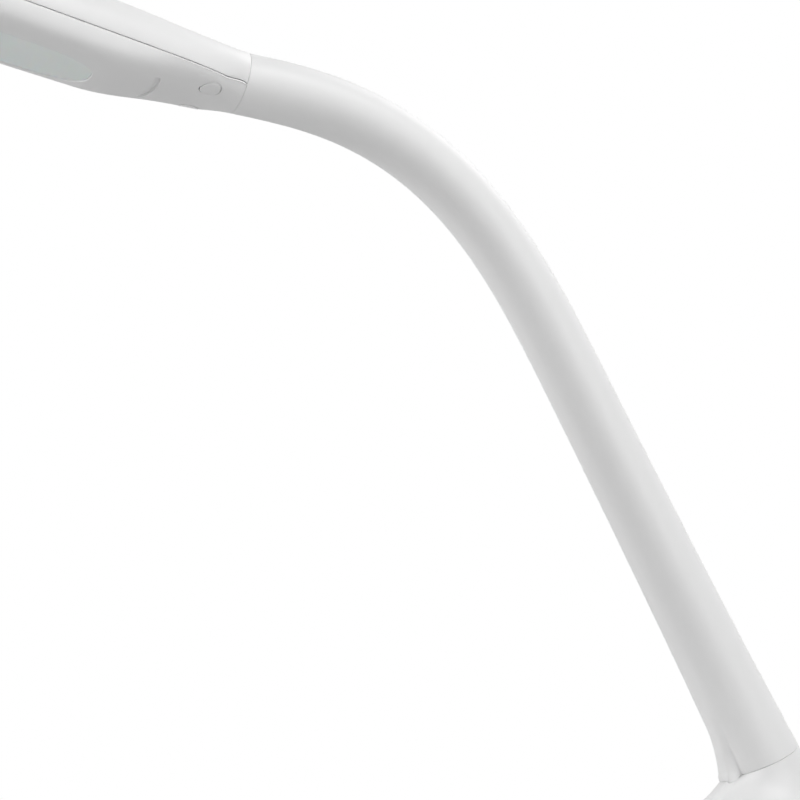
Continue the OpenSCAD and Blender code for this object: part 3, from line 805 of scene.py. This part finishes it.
# opal panel with a softened edge, set just below the rim of its window
def makeDiffuser():
    edge, thick, gap = 0.4, 1.25, 0.12
    middle = (head["windowStart"] + head["windowEnd"]) / 2

    # ring a distance inwards, shrunk to a share of its size, and lifted from the panel's face
    def ring(inwards, share, lift):
        grow = -gap - inwards
        half = [(s, windowHalf(s, grow)) for s in windowSteps(grow, 60)]
        return [undersidePoint(middle + (s - middle) * share, y * share, head["windowRecess"] + lift)
                for s, y in half + [(s, -y) for s, y in reversed(half[1:-1])]]

    rings = [ring(0, share, thick) for share in (0.02, 0.15, 0.3, 0.45, 0.6, 0.75, 0.88, 1)]
    rings += [ring(edge * (1 - sinD(18 * k)), 1, edge * (1 - cosD(18 * k))) for k in range(5, -1, -1)]
    rings += [ring(edge, share, 0) for share in (0.93, 0.85, 0.75, 0.6, 0.45, 0.3, 0.15, 0.02)]
    piece = ringPiece("diffuser_panel", rings)
    return settle(piece, "head", "diffuser")




# finishes
def newMaterial(name):
    material = bpy.data.materials.new(name)
    material.use_nodes = True
    return material, material.node_tree, material.node_tree.nodes["Principled BSDF"]


# the kind of each input follows from its first value
def newGroup(name, inputs, output, outputKind="Float"):
    group = bpy.data.node_groups.new(name, "ShaderNodeTree")
    for label, value in inputs.items():
        kind = {3: "Vector", 4: "Color"}[len(value)] if isinstance(value, tuple) else "Float"
        socket = group.interface.new_socket(label, in_out="INPUT", socket_type="NodeSocket" + kind)
        socket.default_value = value
    group.interface.new_socket(output, in_out="OUTPUT", socket_type="NodeSocket" + outputKind)
    return group, group.nodes.new("NodeGroupInput"), group.nodes.new("NodeGroupOutput")


# a setting is an input, with _ for a space, or else a property of the node
def addNode(tree, kind, **settings):
    prefixes = ("ShaderNode", "GeometryNode", "FunctionNode")
    node = tree.nodes.new(next(prefix + kind for prefix in prefixes if hasattr(bpy.types, prefix + kind)))
    for key, value in settings.items():
        label = key.replace("_", " ")
        if label in node.inputs:
            node.inputs[label].default_value = value
        else:
            setattr(node, key, value)
    return node


# each wire is (node, output, node, input)
def wire(tree, *wires):
    for source, output, target, entry in wires:
        tree.links.new(source.outputs[output], target.inputs[entry])


# slow change between two tones over the surface
def makeToneDrift():
    group, start, end = newGroup("toneDrift", {"First": (1, 1, 1, 1), "Second": (1, 1, 1, 1), "Scale": 20},
                                 "Color", "Color")
    place = addNode(group, "TexCoord")
    noise = addNode(group, "TexNoise", Detail=3)
    blend = addNode(group, "Mix", data_type="RGBA")
    wire(group, (place, "Object", noise, "Vector"), (start, "Scale", noise, "Scale"),
         (noise, "Fac", blend, 0), (start, "First", blend, 6), (start, "Second", blend, 7),
         (blend, 2, end, "Color"))
    return group


# roughness that wanders between two values, with finer wipe marks in it
def makeGlossDrift():
    group, start, end = newGroup("glossDrift", {"Low": 0.4, "High": 0.5, "Scale": 30, "Stretch": (1, 1, 1)},
                                 "Roughness")
    place = addNode(group, "TexCoord")
    stretch = addNode(group, "VectorMath", operation="MULTIPLY")
    noise = addNode(group, "TexNoise", Detail=4, Roughness=0.62)
    spanned = addNode(group, "MapRange", From_Min=0.3, From_Max=0.7)
    wire(group, (place, "Object", stretch, 0), (start, "Stretch", stretch, 1),
         (stretch, 0, noise, "Vector"), (start, "Scale", noise, "Scale"), (noise, "Fac", spanned, "Value"),
         (start, "Low", spanned, "To Min"), (start, "High", spanned, "To Max"),
         (spanned, "Result", end, "Roughness"))
    return group


# height of a moulded, cast or drawn surface: cells with softer waves under them
def makeGrain():
    group, start, end = newGroup("surfaceGrain", {"Scale": 2500, "Waves": 0.3, "Stretch": (1, 1, 1)},
                                 "Height")
    waveScale = 0.12
    place = addNode(group, "TexCoord")
    stretch = addNode(group, "VectorMath", operation="MULTIPLY")
    cells = addNode(group, "TexVoronoi", feature="SMOOTH_F1")
    waves = addNode(group, "TexNoise", Detail=2)
    slower = addNode(group, "Math", operation="MULTIPLY")
    slower.inputs[1].default_value = waveScale
    both = addNode(group, "Math", operation="MULTIPLY_ADD")
    wire(group, (place, "Object", stretch, 0), (start, "Stretch", stretch, 1),
         (stretch, 0, cells, "Vector"), (stretch, 0, waves, "Vector"), (start, "Scale", cells, "Scale"),
         (start, "Scale", slower, 0), (slower, 0, waves, "Scale"), (waves, "Fac", both, 0),
         (start, "Waves", both, 1), (cells, "Distance", both, 2), (both, 0, end, "Height"))
    return group


toneDrift, glossDrift, surfaceGrain = makeToneDrift(), makeGlossDrift(), makeGrain()


def makeFinish(name, tones, gloss, grain, stretch=(1, 1, 1), **plain):
    material, tree, shader = newMaterial(name)
    tone = addNode(tree, "Group", node_tree=toneDrift,
                   First=(*tones[0], 1), Second=(*tones[1], 1), Scale=tones[2])
    shine = addNode(tree, "Group", node_tree=glossDrift,
                    Low=gloss[0], High=gloss[1], Scale=gloss[2], Stretch=stretch)
    height = addNode(tree, "Group", node_tree=surfaceGrain,
                     Scale=grain[0], Waves=grain[1], Stretch=stretch)
    bump = addNode(tree, "Bump", Strength=1, Distance=grain[2] * toMetres)
    wire(tree, (tone, "Color", shader, "Base Color"), (shine, "Roughness", shader, "Roughness"),
         (height, "Height", bump, "Height"), (bump, "Normal", shader, "Normal"))
    for label, value in plain.items():
        shader.inputs[label].default_value = value
    return material


# tones are (first, second, scale), gloss is (low, high, scale) and grain is (scale, waves, depth in mm)
finishValues = {
    "whitePlastic": (((0.83, 0.83, 0.832), (0.845, 0.845, 0.842), 14), (0.4, 0.47, 26),
                     (2600, 0.5, 0.004), {"IOR": 1.49}),
    "whiteKey": (((0.83, 0.83, 0.832), (0.84, 0.84, 0.838), 60), (0.34, 0.4, 60),
                 (3200, 0.4, 0.003), {"IOR": 1.49}),
    "opalPanel": (((0.88, 0.88, 0.865), (0.9, 0.9, 0.89), 18), (0.3, 0.36, 30),
                  (1800, 0.8, 0.004), {"Subsurface Weight": 0.35, "Subsurface Scale": 0.004}),
    "reflectorWhite": (((0.86, 0.86, 0.86), (0.88, 0.88, 0.88), 30), (0.5, 0.6, 40), (1500, 0.4, 0.006)),
    "platePaint": (((0.016, 0.016, 0.018), (0.024, 0.024, 0.026), 40), (0.5, 0.64, 35), (1100, 0.9, 0.02)),
    "feetRubber": (((0.014, 0.014, 0.014), (0.022, 0.022, 0.021), 90), (0.66, 0.8, 60), (1900, 0.7, 0.02)),
    "rolledSteel": (((0.24, 0.245, 0.25), (0.33, 0.335, 0.34), 30), (0.36, 0.56, 50),
                    (900, 0.6, 0.012), {"stretch": (0.12, 1, 1), "Metallic": 1}),
    "platedSteel": (((0.56, 0.57, 0.6), (0.66, 0.66, 0.67), 160), (0.24, 0.36, 300),
                    (2600, 0.4, 0.004), {"Metallic": 1}),
    "groundSteel": (((0.58, 0.585, 0.6), (0.66, 0.665, 0.68), 90), (0.16, 0.28, 400),
                    (4200, 0.3, 0.003), {"stretch": (1, 0.06, 1), "Metallic": 1}),
    "castZinc": (((0.36, 0.365, 0.38), (0.44, 0.445, 0.46), 70), (0.42, 0.58, 120),
                 (1300, 0.8, 0.02), {"Metallic": 1}),
    "milledAluminium": (((0.6, 0.6, 0.61), (0.7, 0.7, 0.71), 40), (0.28, 0.42, 260),
                        (2200, 0.5, 0.006), {"stretch": (0.05, 1, 1), "Metallic": 1}),
    "leadPvc": (((0.012, 0.012, 0.013), (0.02, 0.02, 0.021), 120), (0.42, 0.55, 90), (2600, 0.7, 0.008)),
    "domeSilicone": (((0.07, 0.07, 0.072), (0.09, 0.09, 0.09), 200), (0.5, 0.62, 200),
                     (3800, 0.6, 0.004), {"Subsurface Weight": 0.1, "Subsurface Scale": 0.001}),
    "componentBlack": (((0.008, 0.008, 0.009), (0.014, 0.014, 0.015), 150), (0.3, 0.44, 200),
                       (2600, 0.6, 0.006)),
    "phosphor": (((0.78, 0.62, 0.12), (0.84, 0.7, 0.2), 600), (0.22, 0.3, 400),
                 (5000, 0.5, 0.003), {"IOR": 1.41}),
}


# solder mask over copper tracks
def makeBoardGreen():
    material, tree, shader = newMaterial("boardGreen")
    place = addNode(tree, "TexCoord")
    tracks = addNode(tree, "TexBrick", Scale=330, Color1=(0.008, 0.075, 0.03, 1),
                     Color2=(0.012, 0.095, 0.04, 1), Mortar=(0.03, 0.19, 0.075, 1), Mortar_Size=0.035)
    shine = addNode(tree, "Group", node_tree=glossDrift, Low=0.24, High=0.36, Scale=120)
    bump = addNode(tree, "Bump", Strength=1, Distance=0.03 * toMetres)
    wire(tree, (place, "Object", tracks, "Vector"), (tracks, "Color", shader, "Base Color"),
         (shine, "Roughness", shader, "Roughness"), (tracks, "Fac", bump, "Height"),
         (bump, "Normal", shader, "Normal"))
    return material


finishes = {name: makeFinish(name, *values[:3], **dict(*values[3:]))
            for name, values in finishValues.items()}
finishes["boardGreen"] = makeBoardGreen()
print("finishes made:", len(finishes))


def dress(piece, finish):
    piece.data.materials.clear()
    piece.data.materials.append(finishes[finish])


# node trees for what repeats or follows a path
def newTree(name, inputs):
    tree = bpy.data.node_groups.new(name, "GeometryNodeTree")
    for label, kind in {"Geometry": "Geometry", **inputs, "Finish": "Material"}.items():
        tree.interface.new_socket(label, in_out="INPUT", socket_type="NodeSocket" + kind)
    tree.interface.new_socket("Geometry", in_out="OUTPUT", socket_type="NodeSocketGeometry")
    return tree, tree.nodes.new("NodeGroupInput"), tree.nodes.new("NodeGroupOutput")


def endTree(tree, start, end, geometry):
    realize = addNode(tree, "RealizeInstances")
    setMaterial = addNode(tree, "SetMaterial")
    tree.links.new(geometry, realize.inputs[0])
    wire(tree, (realize, 0, setMaterial, "Geometry"), (start, "Finish", setMaterial, "Material"),
         (setMaterial, 0, end, 0))
    return tree


# a value is a number, a socket, or sockets and factors by turns, whose products are added
def feed(tree, entry, value):
    if isinstance(value, tuple):
        total = 0
        for source, factor in zip(value[::2], value[1::2]):
            part = addNode(tree, "Math", operation="MULTIPLY_ADD")
            for k, item in enumerate((source, factor, total)):
                feed(tree, part.inputs[k], item)
            total = part.outputs[0]
        value = total
    if isinstance(value, (int, float)):
        entry.default_value = value
    else:
        tree.links.new(value, entry)


def treeRaised(tree, shape, height):
    shift = addNode(tree, "CombineXYZ")
    moved = addNode(tree, "Transform")
    feed(tree, shift.inputs["Z"], height)
    wire(tree, (shape, "Mesh", moved, "Geometry"), (shift, 0, moved, "Translation"))
    return moved.outputs[0]


# cone or cylinder that stands on a height
def treeCone(tree, sides, low, high, depth, height):
    cone = addNode(tree, "MeshCone", Vertices=sides)
    for label, value in (("Radius Bottom", low), ("Radius Top", high), ("Depth", depth)):
        feed(tree, cone.inputs[label], value)
    return treeRaised(tree, cone, height)


# union of some tools, or what they leave of a solid
def treeBoolean(tree, tools, solid=None):
    node = addNode(tree, "MeshBoolean", operation="DIFFERENCE" if solid else "UNION")
    if solid:
        tree.links.new(solid, node.inputs["Mesh 1"])
    for tool in tools:
        tree.links.new(tool, node.inputs["Mesh 2"])
    return node.outputs["Mesh"]


# ends a tree with a copy of the shape on every point, turned by the point's own angles
def endCopies(tree, start, end, shape):
    turn = addNode(tree, "InputNamedAttribute", data_type="FLOAT_VECTOR", Name="turn")
    toRotation = addNode(tree, "EulerToRotation")
    copies = addNode(tree, "InstanceOnPoints")
    tree.links.new(shape, copies.inputs["Instance"])
    wire(tree, (turn, "Attribute", toRotation, 0), (start, "Geometry", copies, "Points"),
         (toRotation, 0, copies, "Rotation"))
    return endTree(tree, start, end, copies.outputs[0])


# pan-head screws with a cross recess; +Z runs into the part and the head ends at 0
def makeScrewTree():
    labels = ("Head Radius", "Head Height", "Shank Radius", "Shank Length")
    tree, start, end = newTree("screws", dict.fromkeys(labels, "Float"))
    radius, height, shank, length = (start.outputs[label] for label in labels)
    solids = [
        treeCone(tree, 40, (radius, 0.86), radius, (height, 0.35), (height, -1)),
        treeCone(tree, 40, radius, radius, (height, 0.65), (height, -0.65)),
        treeCone(tree, 24, shank, shank, (length, 0.86), (height, -0.2)),
        treeCone(tree, 24, shank, (shank, 0.3), (length, 0.15), (length, 0.85, height, -0.2)),
    ]
    bars = []
    for along, across in ((1.15, 0.24), (0.24, 1.15)):
        bar = addNode(tree, "MeshCube")
        size = addNode(tree, "CombineXYZ")
        for label, value in zip("XYZ", ((radius, along), (radius, across), (height, 1.2))):
            feed(tree, size.inputs[label], value)
        wire(tree, (size, 0, bar, "Size"))
        bars.append(treeRaised(tree, bar, (height, -1)))
    return endCopies(tree, start, end, treeBoolean(tree, bars, treeBoolean(tree, solids)))


# round feet with a chamfered edge and a ring groove underneath
def makeFootTree():
    labels = ("Radius", "Height", "Chamfer")
    tree, start, end = newTree("feet", dict.fromkeys(labels, "Float"))
    radius, height, chamfer = (start.outputs[label] for label in labels)
    solids = [
        treeCone(tree, 64, (radius, 1, chamfer, -1), radius, chamfer, 0),
        treeCone(tree, 64, radius, radius, (height, 1, chamfer, -1), chamfer),
    ]
    # the cutters start a little under the foot
    below, coreBelow, coreDepth = -0.00005, -0.001, 0.004
    core = treeCone(tree, 64, (radius, 0.5), (radius, 0.54), coreDepth, coreBelow)
    ring = treeBoolean(tree, [core], treeCone(tree, 64, (radius, 0.7), (radius, 0.66), chamfer, below))
    return endCopies(tree, start, end, treeBoolean(tree, [ring], treeBoolean(tree, solids)))


# lamp packages: a square body with a round well
def makeLedTree():
    tree, start, end = newTree("leds", {"Size": "Vector", "Well Radius": "Float", "Well Depth": "Float"})
    radius, depth = start.outputs["Well Radius"], start.outputs["Well Depth"]
    body = addNode(tree, "MeshCube")
    parts = addNode(tree, "SeparateXYZ")
    wire(tree, (start, "Size", body, "Size"), (start, "Size", parts, 0))
    well = treeCone(tree, 24, (radius, 1.2), radius, (depth, 2), (parts.outputs["Z"], -0.5, depth, -1))
    return endCopies(tree, start, end, treeBoolean(tree, [well], body.outputs["Mesh"]))


# round lead along the edges it is given
def makeLeadTree():
    tree, start, end = newTree("lead", {"Radius": "Float", "Step": "Float"})
    toCurve = addNode(tree, "MeshToCurve")
    kind = addNode(tree, "CurveSplineType", spline_type="CATMULL_ROM")
    resample = addNode(tree, "ResampleCurve", mode="LENGTH")
    profile = addNode(tree, "CurvePrimitiveCircle", Resolution=20)
    tube = addNode(tree, "CurveToMesh", Fill_Caps=True)
    wire(tree, (start, "Geometry", toCurve, "Mesh"), (toCurve, 0, kind, "Curve"),
         (kind, 0, resample, "Curve"), (start, "Step", resample, "Length"),
         (start, "Radius", profile, "Radius"), (resample, 0, tube, "Curve"),
         (profile, 0, tube, "Profile Curve"))
    return endTree(tree, start, end, tube.outputs[0])


screwTree, footTree, ledTree, leadTree = makeScrewTree(), makeFootTree(), makeLedTree(), makeLeadTree()


# plain mesh of what a tree makes on some points, or along them where they are linked; values are in mm
def growPiece(name, tree, places, values, finish, turns=None, linked=False):
    mesh = bpy.data.meshes.new(name)
    edges = [(k, k + 1) for k in range(len(places) - 1)] if linked else []
    mesh.from_pydata([Vector(p) * toMetres for p in places], edges, [])
    attribute = mesh.attributes.new("turn", "FLOAT_VECTOR", "POINT")
    for item, turn in zip(attribute.data, turns or [(0, 0, 0)] * len(places)):
        item.vector = turn
    piece = addObject(name, mesh)
    modifier = piece.modifiers.new(name, "NODES")
    modifier.node_group = tree
    for item in tree.interface.items_tree:
        value = values.get(item.name)
        if item.in_out == "INPUT" and item.name == "Finish":
            modifier[item.identifier] = finishes[finish]
        elif item.in_out == "INPUT" and value:
            sizes = [size * toMetres for size in value] if isinstance(value, tuple) else value * toMetres
            modifier[item.identifier] = sizes
    bake(piece)
    cleanMesh(piece.data, 0.0002)
    for attribute in [a for a in piece.data.attributes if a.name == "turn"]:
        piece.data.attributes.remove(attribute)
    dress(piece, finish)
    return piece


# head radius and height, shank radius and length
fasteners = {
    "base_screws": (2.7, 1.6, 1.25, 8),
    "fork_screws": (2.2, 1, 1.15, 8),
    "bracket_screws": (2.6, 1.2, 1.2, 5),
    "head_screws": (2.3, 1.1, 1, 8),
    "spigot_screws": (1.9, 1, 0.9, 6),
}
tilted = (0, math.radians(-headRise), 0)
headTurned = (0, math.radians(180 - headRise), 0)


def makeScrews(node, body, places, turns=None):
    values = dict(zip(("Head Radius", "Head Height", "Shank Radius", "Shank Length"), fasteners[node]))
    piece = growPiece(node + "_crossed", screwTree, places, values, "platedSteel", turns)
    settle(piece, body, node)


def makeFasteners():
    bossX, bossY, footing = base["length"] * 0.3, base["width"] * 0.3, 2
    bracketX = pivot.x - 17
    makeScrews("base_screws", "base", [(x, y, footing) for x in (-bossX, bossX) for y in (-bossY, bossY)])
    makeScrews("bracket_screws", "base", [(bracketX, y, footing) for y in (-7, 7)])
    places, turns = [], []
    for t in arm["screwPlaces"]:
        g = armAngle(t)
        places.append(armPoint(t) + (armRadius(t) - 1.2) * Vector((-sinD(g), 0, cosD(g))))
        turns.append((0, math.radians(180 - g), 0))
    makeScrews("fork_screws", "arm", places, turns)
    panel = -head["drop"] + head["wall"] + 3.1
    rows = (head["windowStart"] + 20, head["windowEnd"] - 28)
    makeScrews("head_screws", "head", [headPoint(s, y, panel - 0.05) for s in rows for y in (-11, 11)],
               [tilted] * 4)
    makeScrews("spigot_screws", "head", [headPoint(s, 0, -2.9) for s in (8.5, 22.8)], [headTurned] * 2)


feet = {"Radius": 7, "Height": 2.95, "Chamfer": 0.5}


def makeFeet():
    footX, footY = base["length"] * 0.36, base["width"] * 0.2
    places = [(0, 0, 0)] + [(x, y, 0) for x in (-footX, footX) for y in (-footY, footY)]
    piece = growPiece("rubber_feet_grooved", footTree, places, feet, "feetRubber")
    settle(piece, "base", "rubber_feet")


ledRows = {"count": 12, "rowHalf": 5.2, "Size": (3, 2.8, 0.9), "Well Radius": 1.05, "Well Depth": 0.25}


def makeLeds():
    level = -head["drop"] + head["wall"] + 2.6
    rows = spread(head["windowStart"] + 8, head["windowEnd"] - 8, ledRows["count"] - 1)
    places = [headPoint(s, y, level) for s in rows for y in (-ledRows["rowHalf"], ledRows["rowHalf"])]
    piece = growPiece("led_rows", ledTree, places, ledRows, "phosphor", [tilted] * len(places))
    settle(piece, "head", "leds")


lead = {"Radius": 1.1, "Step": 1.2}
boardX, boardTop = -81, 9.2
leadMeet = pivot - 9 * seamUp + 7.5 * sideways - 9 * seamFront


def makeLead(name, node, points):
    piece = growPiece(name, leadTree, points, lead, "leadPvc", linked=True)
    smooth(piece)
    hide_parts(node)
    return piece


def makeLeads():
    first = Vector((boardX + 8.5, 3, boardTop))
    seam = arm["seam"]
    points = [first, first + Vector((1.5, 3, 3.8))]
    points += [seam + Vector(p) for p in ((-16, 7.5, -40), (-12, 7.4, -32), (-6.5, 7.4, -23))]
    points += [leadMeet - 6 * seamUp, leadMeet - 0.35 * seamUp]
    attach(makeLead("base_lead_tube", "base_lead", points), "base")
    loop = [leadMeet] + [pivot + x * seamUp + y * sideways - z * seamFront for x, y, z in
                         ((-6.5, 7.4, 9.4), (-3, 6.9, 10.5), (0, 5, 12.6), (2.6, 2.2, 15),
                          (4.6, 0.5, 16.2), (6.6, 0, 16.6))]
    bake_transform(makeLead("hinge_lead_loop", "hinge_lead", loop), "base", "arm",
             start=loop[0] * toMetres, end=loop[-1] * toMetres)
    shares = (0, 0.22, 0.37, 0.49, 0.61, 0.73, 0.84, 0.93, 1)
    places = [7, 20, 60, 110] + [mix(arm["straight"], arm["length"] - 39.5, u) for u in shares]
    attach(makeLead("arm_lead_tube", "arm_lead", [armPoint(t) for t in places]), "arm")
    slack = [armPoint(arm["length"] - t) for t in (39.1, 36.5)]
    slack += [headPoint(s, 0, 0) for s in (-34, -32, -29.4)]
    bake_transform(makeLead("twist_lead_slack", "twist_lead", slack), "arm", "head",
             start=slack[0] * toMetres, end=slack[-1] * toMetres)
    drop = ((-29, 0), (-15, 0), (4, 0), (9, 0.8), (14, 1.6), (24, 1.4), (38, -0.6), (50, -3.4), (60, -6.6),
            (66, -8.3))
    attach(makeLead("head_lead_tube", "head_lead", [headPoint(s, 0, n) for s, n in drop]), "head")


dome = {"mouth": 1.3, "crown": 1.8, "low": -5.45, "high": -4.5, "wall": 0.25, "press": 0.8}


# hollow silicone dome between a key and its switch
def makeDome(name, side, node):
    low, high, wall = dome["low"], dome["high"], dome["wall"]
    outer = [(mix(dome["mouth"], dome["crown"], ease(k / 8)), mix(low, high, k / 8)) for k in range(9)]
    inner = [(r - wall, mix(n, high, 0.25) if k else low + wall) for k, (r, n) in enumerate(outer)][::-1]
    profile = outer + [(outer[-1][0] - wall, high)] + inner[1:]
    piece = turnedTool(profile, headFrame(*buttonSpot(side)), 48)
    piece.name = name
    dress(piece, "domeSilicone")
    settle(piece, "head", node)
    headPoint(*buttonSpot(side), high) * toMetres
    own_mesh(piece)


armPiece = makeArm()
stripPiece = makeStrip()
print("arm made")
coverPiece = makeCover()
print("base cover made")
headPieces = makeHead()
diffuserPiece = makeDiffuser()
keys = [makeButton("power_button_cap", 1, "power_key", "button_power"),
        makeButton("dimmer_button_cap", -1, "dimmer_key", "button_dimmer")]
print("head made")
for piece in (armPiece, stripPiece, coverPiece, *headPieces):
    dress(piece, "whitePlastic")
for piece in keys:
    dress(piece, "whiteKey")
dress(diffuserPiece, "opalPanel")
makeFasteners()
makeFeet()
makeLeds()
makeLeads()
makeDome("power_dome_hollow", 1, "dome_power")
makeDome("dimmer_dome_hollow", -1, "dome_dimmer")
print("fasteners, feet, lamps, leads and domes made")

shownNodes = {
    "base_plate": "platePaint",
    "ballast": "rolledSteel",
    "reflector": "reflectorWhite",
    "heat_spreader": "milledAluminium",
    **dict.fromkeys(("hinge_bracket", "arm_fork", "neck_socket", "twist_spigot"), "castZinc"),
    **dict.fromkeys(("hinge_pin", "hinge_washers", "spigot_clip"), "groundSteel"),
    **dict.fromkeys(("driver_board", "led_board", "switch_board"), "boardGreen"),
    **dict.fromkeys(("driver_parts", "dc_socket", "tact_switches"), "componentBlack"),
}
for node, finish in shownNodes.items():
    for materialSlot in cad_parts[node].material_slots:
        materialSlot.material = finishes[finish]
print("CAD nodes dressed:", len(shownNodes))

# floor, light and camera
studio = {
    "floorRadius": 2.6,
    "floorPaleness": 0.7,
    "worldStrength": 0.06,
    "lampSize": 1.2,
    # place and watts of each soft lamp
    "lamps": {
        "keyLamp": ((-0.386, 1.265, 1.686), 21),
        "leftLamp": ((1.82, -0.863, 0.64), 20),
        "frontLamp": ((-0.591, 1.862, 0.64), 9),
        "backLamp": ((-1.215, -0.436, 1.686), 8.5),
        "noseLamp": ((1.912, 0.641, 0.64), 4.8),
    },
    "aim": Vector((0.05, 0, 0.2)),
}
camera = {
    "place": Vector((488.4, 859.5, 49.7)),
    "forward": Vector((-0.3945526, -0.9054678, 0.1563852)),
    "up": Vector((0.0624708, 0.1433657, 0.9876961)),
    "lens": 108,
}


# pale ground that keeps its shadow; seen by the camera it is mostly plain white
def makeFloorFinish():
    material, tree, shader = newMaterial("floorPale")
    shader.inputs["Roughness"].default_value = 0.9
    shader.inputs["Specular IOR Level"].default_value = 0.1
    tone = addNode(tree, "Group", node_tree=toneDrift,
                   First=(0.68, 0.68, 0.68, 1), Second=(0.71, 0.71, 0.71, 1), Scale=3)
    glow = addNode(tree, "Emission", Strength=1, Color=(0.92, 0.92, 0.92, 1))
    rays = addNode(tree, "LightPath")
    share = addNode(tree, "Math", operation="MULTIPLY")
    share.inputs[1].default_value = studio["floorPaleness"]
    choose = addNode(tree, "MixShader")
    wire(tree, (tone, "Color", shader, "Base Color"), (rays, "Is Camera Ray", share, 0),
         (share, 0, choose, 0), (shader, 0, choose, 1), (glow, 0, choose, 2),
         (choose, 0, tree.nodes["Material Output"], "Surface"))
    return material


floorMesh = bpy.data.meshes.new("floor")
ring = [(studio["floorRadius"] * cosD(k * 5), studio["floorRadius"] * sinD(k * 5), 0) for k in range(72)]
floorMesh.from_pydata(ring, [], [tuple(range(72))])
floor = addObject("floor", floorMesh)
floor.data.materials.append(makeFloorFinish())

for name, (place, power) in studio["lamps"].items():
    light = bpy.data.lights.new(name, "AREA")
    light.shape = "DISK"
    light.size = studio["lampSize"]
    light.energy = power
    lamp = addObject(name, light)
    lamp.location = place
    lamp.rotation_euler = (studio["aim"] - Vector(place)).to_track_quat("-Z", "Y").to_euler()


# dim light all round, and plain white wherever it is seen, mirrored or seen through
def makeWorld():
    world = bpy.data.worlds.new("studio")
    bpy.context.scene.world = world
    world.use_nodes = True
    tree = world.node_tree
    background = tree.nodes["Background"]
    background.inputs["Color"].default_value = (1, 1, 1, 1)
    background.inputs["Strength"].default_value = studio["worldStrength"]
    plain = addNode(tree, "Background", Color=(1, 1, 1, 1))
    rays = addNode(tree, "LightPath")
    seen = addNode(tree, "Math", operation="MAXIMUM")
    mirrored = addNode(tree, "Math", operation="MAXIMUM")
    choose = addNode(tree, "MixShader")
    wire(tree, (rays, "Is Camera Ray", seen, 0), (rays, "Is Glossy Ray", seen, 1),
         (seen, 0, mirrored, 0), (rays, "Is Transmission Ray", mirrored, 1), (mirrored, 0, choose, 0),
         (background, 0, choose, 1), (plain, 0, choose, 2),
         (choose, 0, tree.nodes["World Output"], "Surface"))


def makeCamera():
    data = bpy.data.cameras.new("camera")
    data.sensor_width = 36
    data.lens = camera["lens"]
    data.clip_start = 0.01
    right = camera["forward"].cross(camera["up"]).normalized()
    upright = right.cross(camera["forward"]).normalized()
    turn = Matrix((right, upright, -camera["forward"].normalized())).transposed().to_4x4()
    piece = addObject("camera", data)
    piece.matrix_world = Matrix.Translation(camera["place"] * toMetres) @ turn
    bpy.context.scene.camera = piece


makeWorld()
makeCamera()
bpy.context.scene.view_settings.view_transform = "Standard"
print("floor, light and camera made")
